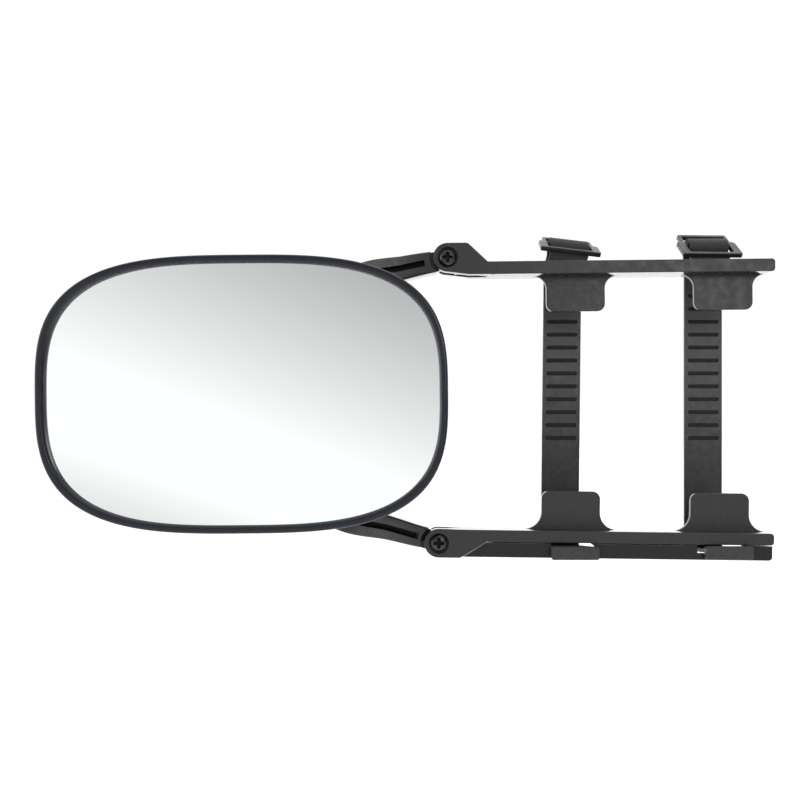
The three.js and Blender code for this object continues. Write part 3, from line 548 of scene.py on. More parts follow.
def fall(across, half, radius):
    """How far a face of that half width falls away, across its middle line, at its rounded sides."""
    over = max(abs(across) - (half - radius), 0)
    return radius - math.sqrt(max(radius**2 - over**2, 0))


def sides_of(points):
    """For each point of a plane curve, the unit vector to the left of its travel."""
    normals = []
    for i in range(len(points)):
        along = (points[min(i + 1, len(points) - 1)] - points[max(i - 1, 0)]).normalized()
        normals.append(Vector((-along.y, along.x)))
    return normals


# ---------- mirror head ----------
def oval(half_width, half_height, squareness, depth_at):
    ring = []
    cos_roll, sin_roll = math.cos(HEAD_ROLL), math.sin(HEAD_ROLL)
    for c, s in circle(0, 0, 1, OVAL_STEPS):
        wide, tall = abs(c / half_width) ** squareness, abs(s / half_height) ** squareness
        radius = (wide + tall) ** (-1 / squareness)
        x, z = radius * c, radius * s
        across, up = x * cos_roll - z * sin_roll, x * sin_roll + z * cos_roll
        ring.append((HEAD_X + across, depth_at(x, z), HEAD_Z + up))
    return ring


def inset_oval(inset, depth_at, scale=1.0):
    half = ((HEAD_HALF_WIDTH - inset) * scale, (HEAD_HALF_HEIGHT - inset) * scale)
    return oval(*half, HEAD_SQUARENESS, depth_at)


def glass_depth(x, z):
    return GLASS_FRONT_Y + (x * x + z * z) / (2 * GLASS_RADIUS)


def bezel():
    """The hoop round the glass. Its lip runs down to the glass, which is deeper at the ends."""
    crown = [(0, SEAM_Y), (0, -37.7), (0.08, -38.2), (0.28, -38.6), (0.62, -38.9), (1.1, -39.04)]
    crown += [(1.9, -39.1), (2.7, -39.06), (3.35, -38.88), (3.9, -38.45)]
    rings = [inset_oval(inset, lambda x, z, y=y: y) for inset, y in crown]
    for inset, share in ((4.2, 0.35), (4.38, 0.7), (4.42, 0.97)):
        rings.append(inset_oval(inset, lambda x, z, s=share: lerp(-38.45, glass_depth(x, z) - 0.05, s)))
    rings.append(inset_oval(4.3, lambda x, z: glass_depth(x, z) - 0.04))
    rings += [inset_oval(2.9, lambda x, z, y=y: y) for y in (-35.4, SEAM_Y)]
    return facing_out(*loft(rings, endless=True))


def glass():
    scales = (0.03, 0.15, 0.3, 0.45, 0.6, 0.72, 0.82, 0.9, 0.96, 1.0)
    front = [inset_oval(GLASS_INSET, glass_depth, scale) for scale in scales]
    back = [inset_oval(GLASS_INSET, lambda x, z: glass_depth(x, z) + GLASS_THICKNESS, s) for s in scales]
    return facing_out(*loft(front + back[::-1]))


def dome_rings(wall, steps):
    end = 18.0 - wall
    rings = []
    for i in range(steps + 1):
        turn = math.pi / 2 * i / steps
        inward = (1 - math.cos(turn)) ** 0.92
        y = SEAM_Y + GAP + (SHELL_DEPTH - wall) * math.sin(turn) ** 0.9
        half_width = lerp(HEAD_HALF_WIDTH - wall, end, inward)
        half_height = lerp(HEAD_HALF_HEIGHT - wall, end, inward)
        rings.append(oval(half_width, half_height, lerp(HEAD_SQUARENESS, 2, inward), lambda x, z, y=y: y))
    return rings


def shell():
    """Dome, socket boss, the seat inside it and back along the inner wall."""
    inner, outer = dome_rings(SHELL_WALL, 24), dome_rings(0, 56)
    lip = [inset_oval(0.35, lambda x, z: SEAM_Y + GAP)]
    boss = [(17.2, -2.45), (16.6, -1.9), (16.2, -0.9), (15.9, 0.6), (15.4, 3.2), (15.0, 5.6), (14.85, 6.3)]
    boss += [(14.45, 6.85), (13.8, 7.2), (11.3, 7.2), (10.7, 6.9), (9.3, 5.8), (9.9, 4.6), (10.9, 0)]
    boss += [(10.9, -14.7), (17.5, -14.7), (17.5, -5.3)]
    circles = [oval(radius, radius, 2, lambda x, z, y=y: y) for radius, y in boss]
    return facing_out(*loft(lip + outer[1:] + circles + inner[::-1], endless=True))


Shape().add(*glass()).piece("mirror_glass_sheet", "mirror_glass", "head", ["mirror_glass"], flat_faces=False)
Shape().add(*bezel()).piece("head_bezel_hoop", "bezel_plastic", "head", ["head_bezel"], 50, False)
Shape().add(*shell()).piece("head_shell_dome", "black_plastic", "head", ["head_shell"], 50, False)


# ---------- yoke ----------
def lean_at(x):
    return (HUB_FRONT_Y - LINK_FRONT_Y) * smooth((-117 - x) / 66)


def link(places, groove_span, pivot):
    """A rounded bar that widens from the pivot's shoulder to the hub, with a groove along its front."""
    centre = spline([*places, (HEAD_X, HEAD_Z)], LINK_STATIONS)
    normals = sides_of(centre)
    round_front, round_rear = 1.1, 1.6
    groove = LINK_GROOVE_WIDTH / 2
    # Shares of the half width outside the groove's zone, then millimetres inside it.
    outside = [1, 0.985, 0.93, 0.87, 0.82, 0.6]
    inside = [groove + 0.25, groove + 0.05, groove - 0.12, 0.8]
    tilted = [("share", v) for v in outside] + [("mm", v) for v in inside]
    columns = tilted + [("mm", 0.0)] + [(kind, -v) for kind, v in reversed(tilted)]

    def station_at(station):
        i = min(int(station), LINK_STATIONS - 1)
        t = station - i
        return centre[i].lerp(centre[i + 1], t), normals[i].lerp(normals[i + 1], t)

    def half_width(point):
        return min(LINK_START_WIDTH + LINK_GROWTH * (pivot[0] - point.x), LINK_WIDEST) / 2

    def lateral(column, point):
        kind, value = column
        return value * half_width(point) if kind == "share" else value

    def position(column, station):
        point, normal = station_at(station)
        return point + normal * lateral(column, point)

    def first_station(column):
        low, high = 0.0, LINK_STATIONS / 4
        for _ in range(30):
            middle = (low + high) / 2
            if (position(column, middle) - Vector(pivot)).length < SHOULDER_RADIUS:
                low = middle
            else:
                high = middle
        return high

    starts = [first_station(column) for column in columns]
    latest = max(starts)
    front, back = [], []

    def row(stations, shrink, groove_share):
        depth_front, depth_back = [], []
        for column, station in zip(columns, stations):
            point, normal = station_at(station)
            half = half_width(point)
            across = lateral(column, point)
            place = point + normal * across * (1 - shrink * 0.05)
            dip = fall(across, half, round_front) + shrink
            rise = fall(across, half, round_rear) + shrink
            if abs(across) < groove:
                dip += LINK_GROOVE_DEPTH * groove_share
            lean = lean_at(place.x)
            depth_front.append((place.x, LINK_FRONT_Y + dip + lean, place.y))
            depth_back.append((place.x, LINK_FRONT_Y + LINK_THICKNESS - rise + lean, place.y))
        front.append(depth_front)
        back.append(depth_back)

    for forward, shrink in ((0, 0.45), (0.2, 0.2), (0.6, 0.06), (1.3, 0)):
        row([start + forward for start in starts], shrink, 0)
    first, last = (LINK_STATIONS * share for share in groove_span)
    fixed = {first: 0, first + 0.25: 0.9, first + 0.6: 1, last - 0.6: 1, last - 0.25: 0.9, last: 0}
    fixed[LINK_STATIONS] = 0
    station = latest + 2.5
    while station < LINK_STATIONS - 2:
        fixed.setdefault(station, 1 if first < station < last else 0)
        station += 4
    for station in sorted(fixed):
        row([station] * len(columns), 0, fixed[station])
    return slab(front, back)


def tongue(places, pivot):
    """The neck behind the tongue's disc, as far as the link."""
    pivot = Vector(pivot)
    centre = spline([*places, (HEAD_X, HEAD_Z)], 24)
    along = (centre[5] - pivot).normalized()
    side = Vector((-along.y, along.x)) * NECK_WIDTH / 2
    far = pivot + along * NECK_REACH
    return [tuple(p) for p in (pivot + side, far + side, far - side, pivot - side)]


yoke = Shape()
for places, groove_span, arm in ((UPPER_LINK, UPPER_GROOVE, UPPER), (LOWER_LINK, LOWER_GROOVE, LOWER)):
    yoke.add(*link(places, groove_span, arm["pivot"]))
    front_y, rear_y = FORK_SLOT[0] + GAP, FORK_SLOT[1] - GAP
    bore = circle(*arm["pivot"], TONGUE_BORE)
    yoke.add(*standing(circle(*arm["pivot"], TONGUE_RADIUS), front_y, rear_y, 0.3, [bore]))
    yoke.add(*standing(tongue(places, arm["pivot"]), front_y + 0.06, rear_y - 0.06, 0.2))
hub_face_y = HUB_FRONT_Y - HUB_PROUD
hub = [(3.15, hub_face_y + 0.3), (3.5, hub_face_y), (HUB_RADIUS - 1.2, hub_face_y)]
hub += [(HUB_RADIUS - 0.35, hub_face_y + 0.35), (HUB_RADIUS, hub_face_y + 1.2)]
hub += [(r, 2 * HUB_FRONT_Y + LINK_THICKNESS - y) for r, y in reversed(hub)]
yoke.add(*turned(hub, 96, HEAD_X, HEAD_Z))
yoke = yoke.piece("yoke_moulding", "black_plastic", "yoke", ["yoke"])
paint(yoke, SHINY_PLASTIC, is_edge)


def in_link_groove(centre, normal):
    depth = centre.y - lean_at(centre.x) - LINK_FRONT_Y
    on_link = -185 < centre.x < -124 and abs(centre.z) > 30
    return on_link and 1.25 < depth < LINK_GROOVE_DEPTH + 0.6


# The link's groove floor gets painted shade.
paint(yoke, RECESS_PAINTED_SHADE, in_link_groove)


# ---------- arms ----------
def arm_matrix(arm):
    place = Matrix.Translation((arm["pivot"][0], 0, arm["pivot"][1]))
    return place @ Matrix.Rotation(-arm["slope"], 4, "Y") @ Matrix.Diagonal((1, 1, arm["flip"], 1))


def fork_outline(arm, reach):
    r = BOSS_RADIUS
    points = arc(0, 0, r, 90, 270, 32)
    top_end = arm["boss_top_end"]
    points += [(r + 4, arm["inner"]), (reach, arm["inner"]), (reach, arm["outer"])]
    points += [(arm["diagonal_end"], arm["outer"]), (top_end + 0.6, r - 0.55), (top_end - 0.6, r)]
    return points


def hook_outline(centre, arm):
    half, corner, flare = HOOK_WIDTH / 2, HOOK_CORNER, arm["flare"]
    right = arc(half - corner, arm["hook_tip"] + corner, corner, 270, 360, 10)
    right += arc(half + flare, arm["inner"] - flare, flare, 180, 90, 14)
    right.append((half + flare + 1, arm["inner"] + 1.5))
    return [(centre - x, z) for x, z in reversed(right)] + [(centre + x, z) for x, z in right]


def arm_shape(arm):
    shape, matrix = Shape(), arm_matrix(arm)
    outer, inner, start, end = arm["outer"], arm["inner"], arm["diagonal_end"], arm["end"]

    def put(body):
        shape.add(*body, matrix)

    fork = fork_outline(arm, start + 4)
    bore, counterbore = circle(0, 0, ARM_BORE), circle(0, 0, COUNTERBORE_RADIUS)
    put(standing(fork, ARM_FRONT_Y, FORK_SLOT[0], 0.4, [counterbore]))
    seat, seat_y = circle(0, 0, COUNTERBORE_RADIUS + 0.4), ARM_FRONT_Y + COUNTERBORE_DEPTH
    put(standing(seat, seat_y, FORK_SLOT[0] - 0.02, 0.1, [bore]))
    put(standing(fork, FORK_SLOT[1], ARM_REAR_Y, 0.4, [bore]))
    throat = arc(0, 0, BOSS_RADIUS + 1.1, 60, -64, 16)
    throat = [p for p in throat if inner < p[1] < BOSS_RADIUS]
    filling = [*throat, (start + 4, inner + 0.02), (start + 4, outer - 0.02), (start, outer - 0.02)]
    filling += [(arm["boss_top_end"] + 0.6, BOSS_RADIUS - 0.6)]
    put(standing(filling, FORK_SLOT[0] - 1, FORK_SLOT[1] + 1, 0.05))
    face = rounded([(start + 2, inner), (end, inner, 1.8), (end, outer, 1.8), (start + 2, outer)])
    put(standing(face, ARM_FRONT_Y + 0.03, ARM_FRONT_Y + WALL, 0.4))
    low, high = inner + 0.03, outer - 0.03
    closing = rounded([(end - 6, low), (end - 0.03, low, 1.8), (end - 0.03, high, 1.8), (end - 6, high)])
    put(standing(closing, ARM_FRONT_Y + 0.6, ARM_REAR_Y, 0.4))
    put(block((start, end - 2), (ARM_FRONT_Y + 0.7, ARM_REAR_Y + 0.02), (inner + 0.02, inner + 2), 0.3))
    put(block((start, end - 2), (ARM_REAR_Y - WALL, ARM_REAR_Y - 0.04), (inner + 0.3, outer - 0.05), 0.3))
    shelf = rounded(
        [
            (BOSS_RADIUS + 3, ARM_REAR_Y - WALL),
            (end - 0.6, ARM_REAR_Y - WALL),
            (end - 0.6, SHELF_REAR_Y, 5),
            (BOSS_RADIUS + 3, SHELF_REAR_Y, 9),
        ]
    )
    wide, deep = SLOT_HALF_WIDTH, SLOT_HALF_DEPTH
    places = [(x, y) for x in arm["straps"] for y in arm["slot_depths"]]
    slots = [rectangle(x - wide, x + wide, y - deep, y + deep, SLOT_CORNER) for x, y in places]
    put(plate(shelf, outer - SHELF_THICKNESS, outer, 0.4, slots))
    put(block((24, end - 8), (SHELF_REAR_Y - 1.6, SHELF_REAR_Y), (outer - 0.8, outer + 1.4), 0.35))
    pitch = (end - start - 2 * RIB_END) / (RIBS + 1)
    for i in range(RIBS):
        x = start + RIB_END + pitch * (i + 1)
        put(block((x - 0.8, x + 0.8), (ARM_FRONT_Y + 1, ARM_REAR_Y - 1), (inner + 1, outer - 1.2), 0.2))
    for centre in arm["hooks"]:
        put(standing(hook_outline(centre, arm), HOOK_FRONT_Y, ARM_REAR_Y + 0.01, 0.55))
    return shape


def pad_body(centre, arm):
    left, right = centre - PAD_HALF_WIDTH, centre + PAD_HALF_WIDTH
    low = arm["hook_tip"] + PAD_FROM_TIP
    return standing(rectangle(left, right, low, low + PAD_HEIGHT, PAD_CORNER, 8), ARM_REAR_Y + GAP, 0, 0.45)


def cross_depth(x, z):
    """How deep the cross recess is at (x, z) from the screw's centre."""
    wide, narrow = max(abs(x), abs(z)), min(abs(x), abs(z))
    arms = smooth((0.85 - narrow) / 0.25) * smooth((3.0 - wide) / 0.5)
    return 1.5 * max(arms, smooth((1.5 - math.hypot(x, z)) / 0.4))


def in_cross(centre, arm):
    x, z = centre.x - arm["pivot"][0], centre.z - arm["pivot"][1]
    return centre.y < ARM_FRONT_Y + 2 and cross_depth(x, z) > 0.4


def pivot_screw(arm):
    """A domed pan head with a tapered cross recess, and its shank."""
    seat = ARM_FRONT_Y + COUNTERBORE_DEPTH - GAP / 2
    front = seat - SCREW_HEAD_HEIGHT
    spokes = circle(0, 0, 1, 96)
    rings = []
    profile = [(0.05, -0.5), (0.4, -0.5), (0.7, -0.49), (0.9, -0.48), (1.1, -0.47), (1.3, -0.46)]
    profile += [(1.5, -0.44), (1.9, -0.4), (2.2, -0.36), (2.5, -0.31), (2.75, -0.25), (3.0, -0.17)]
    profile += [(3.2, -0.1), (3.4, -0.02), (3.9, 0.22), (4.3, 0.5), (4.65, 0.85), (4.85, 1.25)]
    profile += [(4.9, 1.6), (4.9, 2.2), (4.8, SCREW_HEAD_HEIGHT)]
    for radius, y in profile:
        points = [(radius * c, radius * s) for c, s in spokes]
        rings.append([(x, front + y + cross_depth(x, z), z) for x, z in points])
    shank = [(SCREW_SHANK_RADIUS, seat), (SCREW_SHANK_RADIUS, SCREW_TIP_Y - 0.6)]
    for radius, y in (*shank, (SCREW_SHANK_RADIUS - 0.6, SCREW_TIP_Y), (0.05, SCREW_TIP_Y)):
        rings.append([(radius * c, y, radius * s) for c, s in spokes])
    return facing_out(*loft(rings))


def ring_washer(radius, bore, front_y, thickness):
    edge = 0.15
    rear_y = front_y + thickness
    profile = [(bore, front_y), (radius - edge, front_y), (radius, front_y + edge), (radius, rear_y - edge)]
    return turned([*profile, (radius - edge, rear_y), (bore, rear_y)])


def hex_nut(across_flats, bore, front_y, height):
    """A hexagon whose corners are chamfered by a cone, with a chamfered plain bore."""
    steps = 96
    rings = []
    corner = across_flats / 2 / math.cos(math.pi / 6)
    for share in (0.0, 0.06, 0.12, 0.88, 0.94, 1.0):
        limit = lerp(across_flats / 2 - 0.05, corner, min(share, 1 - share) / 0.12)
        ring = []
        for i in range(steps):
            angle = 2 * math.pi * i / steps
            flat = across_flats / 2 / math.cos((angle + math.pi / 6) % (math.pi / 3) - math.pi / 6)
            radius = min(flat, limit)
            ring.append((radius * math.sin(angle), front_y + height * share, radius * math.cos(angle)))
        rings.append(ring)
    rear_y, mouth = front_y + height, bore + 0.45
    for radius, y in ((mouth, rear_y), (bore, rear_y - 0.5), (bore, front_y + 0.5), (mouth, front_y)):
        rings.append([(radius * s, y, radius * c) for c, s in circle(0, 0, 1, steps)])
    return facing_out(*loft(rings, endless=True))


for arm in (UPPER, LOWER):
    name, matrix = arm["name"], arm_matrix(arm)
    body = f"{name}_arm"
    moulding = arm_shape(arm).piece(f"{name}_arm_moulding", "black_plastic", body, [body])
    paint(moulding, SHINY_PLASTIC, is_edge)
    screw = Shape().add(*pivot_screw(arm), matrix)
    screw = screw.piece(f"{name}_pivot_pan_screw", "dark_steel", body, [f"{name}_pivot_screw"], 60, False)
    # The screw's cross recess gets painted shade.
    paint(screw, RECESS_PAINTED_SHADE, lambda c, n: in_cross(c, arm))
    washer = Shape().add(*ring_washer(WASHER_RADIUS, ARM_BORE, ARM_REAR_Y + GAP, WASHER_THICKNESS), matrix)
    washer.piece(f"{name}_pivot_flat_washer", "zinc_steel", body, [f"{name}_pivot_washer"], 30)
    nut_y = ARM_REAR_Y + WASHER_THICKNESS + 2 * GAP
    nut = Shape().add(*hex_nut(NUT_ACROSS_FLATS, TONGUE_BORE, nut_y, NUT_HEIGHT), matrix)
    nut.piece(f"{name}_pivot_hex_nut", "zinc_steel", body, [f"{name}_pivot_nut"], 30)
    for side, centre in zip(("left", "right"), arm["hooks"]):
        pad = Shape().add(*pad_body(centre, arm), matrix)
        pad.piece(f"{name}_{side}_hook_rubber", "rubber", body, [f"{name}_{side}_hook_pad"])


def rail_shape():
    shape, matrix = Shape(), arm_matrix(LOWER)
    top = LOWER["outer"] + RAIL["gap"]
    front, rear = RAIL["front"], RAIL["front"] + RAIL["thickness"]
    outline = [(LOWER["boss_top_end"] + 1.5, RAIL["bottom"])]
    outline += [*arc(RAIL["end"] - 2, RAIL["bottom"] - 2, 2, 90, 0, 6), (RAIL["end"], top)]
    for low, high in reversed(RAIL_WINDOWS):
        outline += [(high, top), (high, WINDOW_BOTTOM), (low, WINDOW_BOTTOM), (low, top)]
    outline.append((LOWER["diagonal_end"] - 0.2, top))
    shape.add(*standing(outline, front, rear, 0.35), matrix)
    stops = [LOWER["diagonal_end"] + 1, *[x for window in RAIL_WINDOWS for x in window], RAIL["end"] - 1]
    for low, high in zip(stops[::2], stops[1::2]):
        shape.add(*block((low, high), (front + 0.3, RAIL["web_rear"]), (top, top + 1.3), 0.25), matrix)
    for window in RAIL_WINDOWS:
        sill = (WINDOW_BOTTOM - 0.02, WINDOW_BOTTOM + 0.62)
        shape.add(*block(window, (front + 0.4, rear - 0.1), sill, 0.1), matrix)
    for x in RAIL_PEGS:
        depth = (ARM_FRONT_Y + WALL + GAP, ARM_REAR_Y - WALL - GAP)
        shape.add(*block((x - 1.6, x + 1.6), depth, (top - 3.4, top + 0.6), 0.3), matrix)
    return shape


rail = rail_shape().piece("strap_anchor_rail_moulding", "black_plastic", "lower_arm", ["strap_anchor_rail"])
# The rail's front and back faces get painted shade.
paint(rail, RAIL_PAINTED_SHADE, lambda centre, normal: not is_edge(centre, normal))
paint(rail, SHINY_PLASTIC, is_edge)


def on_rail_lit_edge(centre, normal):
    """The rail's upper front edge, which gets a painted highlight."""
    return normal.z > 0.3 and normal.y < -0.3 and centre.y < RAIL["front"] + 0.6


# The rail's upper front edge gets a painted highlight.
paint(rail, RAIL_EDGE_PAINTED_HIGHLIGHT, on_rail_lit_edge)


# ---------- straps and buckles ----------
def bezier(a, b, c, d, t):
    u = 1 - t
    return a * u**3 + b * 3 * u * u * t + c * 3 * u * t * t + d * t**3


def strap_path(side):
    """The strap's middle line in YZ, and how deep its front is grooved at each point."""
    low, high = side["low"], side["high"]
    corner = [Vector(p) for p in ((11, low - 6), (19, low - 7.6), (LEG_Y, low - 8.4), (LEG_Y, low - 2))]
    start = Vector((T_END_REAR_Y - 1, low - 3))
    path = [(start.lerp(corner[0], i / 8), 0.0) for i in range(8)]
    path += [(bezier(*corner, i / 16), 0.0) for i in range(17)]
    top = high - SHELF_THICKNESS / 2
    heights = {low + 6: 0.0, -34.0: 0.0, top: 0.0}
    half = GROOVE_HEIGHT / 2
    steps = ((half + 0.12, 0), (half - 0.1, 0.8), (half - 0.35, 1), (half - 0.7, 1), (0, 1))
    for i in range(GROOVE_COUNT):
        middle = GROOVE_FIRST_Z + GROOVE_PITCH * i
        for step, share in steps:
            for z in (middle - step, middle + step):
                if z < top - 0.5:
                    heights[z] = share
    path += [(Vector((LEG_Y, z)), heights[z]) for z in sorted(heights)]
    return path


def strap_columns():
    edge = STRAP_WIDTH / 2
    half = [edge, edge - 0.12, edge - 0.4, edge - 0.95, edge - 1.2, 9.6]
    half += [GROOVE_HALF_WIDTH - inset for inset in (-0.1, 0.06, 0.2, 0.4, 0.65, 0.9, 1.2)] + [6.0, 3.0]
    return half + [0.0] + [-u for u in reversed(half)]


def strap_x(side, z):
    """The strap's middle: it leans a little from the lower arm up."""
    return side["x"] + side["lean"] * max(z, LEAN_FOOT_Z)


def nearest_groove(z):
    """The number of the groove nearest to a height, and the height's distance from its middle."""
    nearest = round((z - GROOVE_FIRST_Z) / GROOVE_PITCH)
    return nearest, abs(z - GROOVE_FIRST_Z - GROOVE_PITCH * nearest)


def groove_half_width(z):
    """The grooves end in half circles."""
    radius = GROOVE_HEIGHT / 2
    off = min(nearest_groove(z)[1], radius)
    return GROOVE_HALF_WIDTH - radius + math.sqrt(radius**2 - off**2)


def strap(side):
    path = strap_path(side)
    points = [p for p, _ in path]
    normals = sides_of(points)
    columns = strap_columns()
    edge, thick = STRAP_WIDTH / 2, STRAP_THICKNESS / 2
    front, back = [], []
    for (point, groove), normal in zip(path, normals):
        # The left of the strap's travel is its upper face, then its front face on the leg.
        on_leg = smooth((point.y - side["low"]) / 8)
        near, far = [], []
        for u in columns:
            dip = fall(u, edge, 0.45)
            field = 0.22 * on_leg if abs(u) < edge - 1.05 else 0.0
            cutting = GROOVE_DEPTH * groove if abs(u) < groove_half_width(point.y) else 0.0
            for height, row in ((thick - dip - max(field, cutting), near), (dip - thick, far)):
                place = point + normal * height
                row.append((strap_x(side, place.y) + u, place.x, place.y))
        front.append(near)
        back.append(far)
    shape = Shape().add(*slab(front, back))
    middle, top = side["x"] + 0.2, side["low"] - side["tee_drop"]
    outline = rectangle(middle - T_END_WIDTH / 2, middle + T_END_WIDTH / 2, top - T_END_HEIGHT, top, 1.1, 6)
    shape.add(*standing(outline, T_END_FRONT_Y, T_END_REAR_Y, 0.7))
    return shape


def in_strap_groove(centre, side):
    floor_y = LEG_Y - STRAP_THICKNESS / 2 + GROOVE_DEPTH * 0.4
    nearest, off = nearest_groove(centre.z)
    across = abs(centre.x - strap_x(side, centre.z))
    inside = off < GROOVE_HEIGHT / 2 and across < groove_half_width(centre.z) + 0.05
    return inside and 0 <= nearest < GROOVE_COUNT and floor_y < centre.y < LEG_Y


def strap_loop(side):
    """From the shelf up through the buckle, over its bar and back down, finely ribbed lengthways."""
    high, (bar_y, bar_z) = side["high"], side["bar"]
    across, up = math.cos(side["tilt"]), math.sin(side["tilt"])

    def from_bar(along, above):
        return (bar_y + along * across - above * up, bar_z + along * up + above * across)

    route = [(LEG_Y, high - SHELF_THICKNESS / 2 + GAP), (LEG_Y - 0.4, high + 4.5)]
    route += [from_bar(6.2, -3.2), from_bar(5, 0.4), from_bar(2.8, 2.3), from_bar(-0.3, 3.1)]
    route += [from_bar(-3.2, 2.1), from_bar(-4.7, -0.4), from_bar(-5, -3.4)]
    route += [(TAIL_Y + 0.3, high + 3.5), (TAIL_Y, high - SHELF_THICKNESS - 2.2)]
    points = spline(route, 150)
    normals = sides_of(points)
    thick = (STRAP_THICKNESS - 0.2) / 2
    edge = STRAP_WIDTH / 2
    pitch, rib = 0.9, 0.11
    inner = edge - 1.3
    ribs = [inner - pitch * k / 4 for k in range(int(2 * inner / pitch * 4) + 1)]
    rim = [edge, edge - 0.12, edge - 0.4, edge - 0.95]
    columns = [*rim, *ribs, *(-u for u in reversed(rim))]
    front, back = [], []
    for point, normal in zip(points, normals):
        near, far = [], []
        for u in columns:
            dip = fall(u, edge, 0.4)
            wave = rib * (1 - math.cos(2 * math.pi * (u - inner) / pitch)) / 2 if abs(u) <= inner else 0.0
            for height, row in ((thick - dip, near), (dip - thick + wave, far)):
                place = point + normal * height
                share = smooth((place.y - high - 1) / 9)
                lift = -u * math.tan(side["roll"]) * share
                row.append((side["x"] + u + side["shift"] * share, place.x, place.y + lift))
        front.append(near)
        back.append(far)
    shape = Shape().add(*slab(front, back))
    top = high - SHELF_THICKNESS - GAP
    stop_y = (TAIL_Y - 2.2, TAIL_Y + 2.2)
    shape.add(*block((side["x"] - edge, side["x"] + edge), stop_y, (top - 2.6, top), 0.5))
    return shape


def buckle(side):
    """A frame that narrows behind its middle, with a slot on either side of a round bar."""
    front, rear, deep = BUCKLE_HALF_WIDTH, BUCKLE_REAR_HALF_WIDTH, BUCKLE_HALF_DEPTH
    right = [(front, -deep, 1.2), (front, 2.2, 0.9), (rear, 3.6, 0.6), (rear, deep, 1.4)]
    left = [(-x, y, radius) for x, y, radius in reversed(right)]
    outline = rounded([left[-1], *right, *left[:-1]])
    half, (near, far) = BUCKLE_SLOT_HALF, BUCKLE_SLOT
    slots = [rectangle(-half, half, low, high, 0.6) for low, high in ((-far, -near), (near, far))]
    matrix = Matrix.Translation((side["x"] + side["shift"], *side["bar"]))
    for angle, axis in (("yaw", "Z"), ("roll", "Y"), ("tilt", "X")):
        matrix @= Matrix.Rotation(side[angle], 4, axis)
    frame_body = plate(outline, -BUCKLE_HALF_THICKNESS, BUCKLE_HALF_THICKNESS, 0.55, slots)
    shape = Shape().add(*frame_body, matrix)
    return shape.add(*sideways(circle(0, 0, BUCKLE_BAR_RADIUS, 40), -half - 1, half + 1, 0.2), matrix)


for name, side in SIDES.items():
    band = strap(side).piece(f"{name}_strap_band", "rubber", f"{name}_strap", [f"{name}_strap"], 32)
    # The strap's grooves get painted shade.
    paint(band, STRAP_GROOVE_PAINTED_SHADE, lambda c, n, side=side: in_strap_groove(c, side))
    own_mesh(band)
    loop_nodes = [f"{name}_strap_loop"]
    fold = strap_loop(side).piece(f"{name}_strap_fold", "rubber", "upper_arm", loop_nodes, 50, False)
    paint(fold, RIBBED_RUBBER, lambda centre, normal: True)
    buckle(side).piece(f"{name}_buckle_frame", "black_plastic", f"{name}_buckle", [f"{name}_buckle"])

# ---------- hardware of the ball joint ----------
stud_nut_y = HUB_FRONT_Y + LINK_THICKNESS
ball = [(BALL_RADIUS * c, BALL_RADIUS * s) for c, s in arc(0, 0, 1, -88, 64, 38)]
below_hub = [(9.2 - HUB_FRONT_Y, NECK_RADIUS), (-2.2, NECK_RADIUS), (-1.85, 4.2), (-1.7, 6.3)]
below_hub += [(-1.4, FLANGE_RADIUS), (-GAP, FLANGE_RADIUS), (-GAP, THREAD_RADIUS)]
neck = [(radius, HUB_FRONT_Y + y) for y, radius in below_hub]
# The thread is drawn as rings, in place of a helix.
rings = 60
thread_length = LINK_THICKNESS + 7.4
thread = [
    (THREAD_RADIUS if i % 2 else THREAD_RADIUS - 0.25, HUB_FRONT_Y + thread_length * i / rings)
    for i in range(rings)
]
tip = [(2.3, stud_nut_y + 8), (0.05, stud_nut_y + 8)]
stud = Shape().add(*turned([(0.05, -9.0), *ball, *neck, *thread, *tip], 64, HEAD_X, HEAD_Z))
stud.piece("ball_stud_turned", "zinc_steel", "yoke", ["ball_stud"], 30, False)
to_head = Matrix.Translation((HEAD_X, 0, HEAD_Z))
washer = Shape().add(*ring_washer(6.4, 3.15, stud_nut_y + GAP, 1.2), to_head)
washer.piece("ball_stud_flat_washer", "zinc_steel", "yoke", ["ball_stud_washer"], 30)
nut = Shape().add(*hex_nut(10, 3.05, stud_nut_y + 1.8, 5), to_head)
nut.piece("ball_stud_hex_nut", "zinc_steel", "yoke", ["ball_stud_nut"], 30)

# ---------- studio ----------
FLOOR_Z = -0.62
floor_mesh = bpy.data.meshes.new("floor")
REACH, NEAR_EDGE = 30.0, -1.4
corners = [(-REACH, NEAR_EDGE), (REACH, NEAR_EDGE), (REACH, REACH), (-REACH, REACH)]
floor_mesh.from_pydata([(x, y, FLOOR_Z) for x, y in corners], [], [(0, 1, 2, 3)])
floor = bpy.data.objects.new("floor", floor_mesh)
bpy.context.scene.collection.objects.link(floor)
pale = Nodes("pale_floor", (0.93, 0.93, 0.93), 0.9)
floor_mesh.materials.append(pale.material)

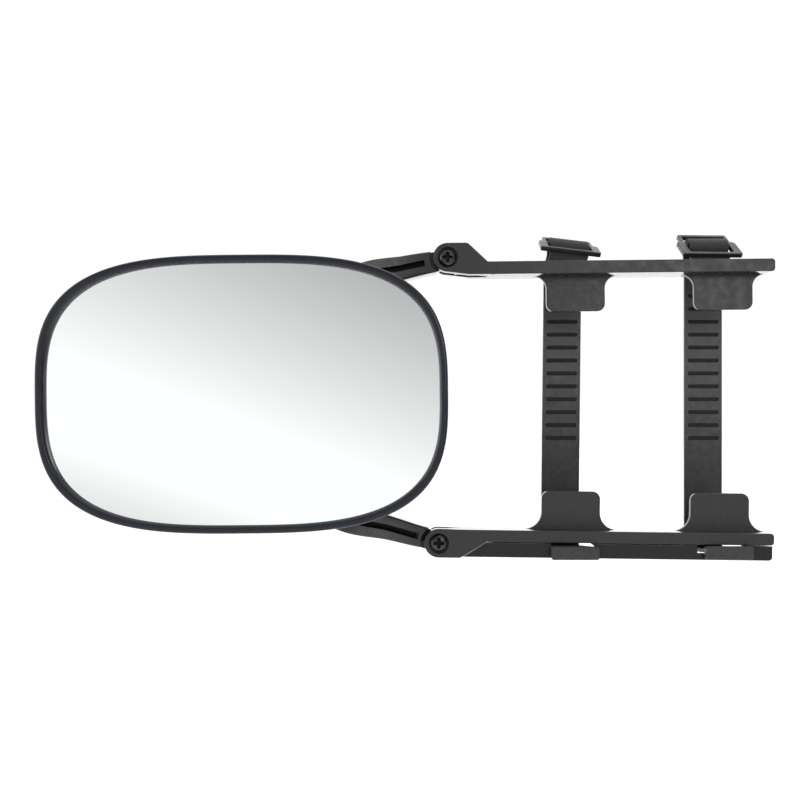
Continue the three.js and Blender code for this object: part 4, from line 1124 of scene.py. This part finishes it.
world = bpy.data.worlds.new("studio")
bpy.context.scene.world = world
world.use_nodes = True
tree = world.node_tree
background = tree.nodes["Background"]
direction = add_node(tree, "TexCoord", {}).outputs["Generated"]


def world_math(operation, a, b):
    return add_node(tree, "Math", {0: a, 1: b}, operation).outputs[0]


def world_plane(weights, offset):
    """weights . direction + offset"""
    inputs = {0: direction, 1: weights}
    return world_math("ADD", add_node(tree, "VectorMath", inputs, "DOT_PRODUCT").outputs["Value"], offset)


def world_share(value, most=1.0):
    """Value held between 0 and most."""
    return world_math("MAXIMUM", world_math("MINIMUM", value, most), 0.0)


# In front of the object the studio is a soft ramp, greyer towards the upper right. The ramp's
# levels are display values, which the power of 2.2 turns into light.
ramp = world_math("MINIMUM", world_plane((-0.349, 0.0, -0.90), 0.9345), 1.0)
shade = world_share(world_plane((-0.517, 0.0, -1.348), -0.2932), 0.12)
front_level = world_math("MAXIMUM", world_math("SUBTRACT", ramp, shade), 0.62)
front_share = world_share(world_plane((0.0, -3.0, 0.0), 0.4))
drop = world_math("MULTIPLY", front_share, world_math("SUBTRACT", 1.0, front_level))
level = world_math("POWER", world_math("SUBTRACT", 1.0, drop), 2.2)
# Overhead the studio is brighter, which lights the floor to white.
overhead = world_math("MULTIPLY", world_share(world_plane((0.0, 0.0, 2.2), -0.8)), 0.9)
tree.links.new(world_math("ADD", level, overhead), background.inputs["Color"])
background.inputs["Strength"].default_value = 1.04


def softbox(name, place, aim, size, power):
    data = bpy.data.lights.new(name, "AREA")
    data.shape = "RECTANGLE"
    data.size, data.size_y = size
    data.energy = power
    light = bpy.data.objects.new(name, data)
    light.location = place
    light.rotation_mode = "QUATERNION"
    light.rotation_quaternion = (Vector(aim) - Vector(place)).to_track_quat("-Z", "Y")
    light.visible_camera = False
    bpy.context.scene.collection.objects.link(light)


softbox("softbox_left", (-2.0, -0.7, 0.3), (-0.1, 0, 0), (1.0, 1.8), 14)
softbox("softbox_right", (0.6, -1.5, 0.42), (0.05, 0, 0.05), (0.7, 0.5), 4)
softbox("softbox_back", (0, 1.7, 0.1), (0, 0, 0), (3.4, 1.3), 14)
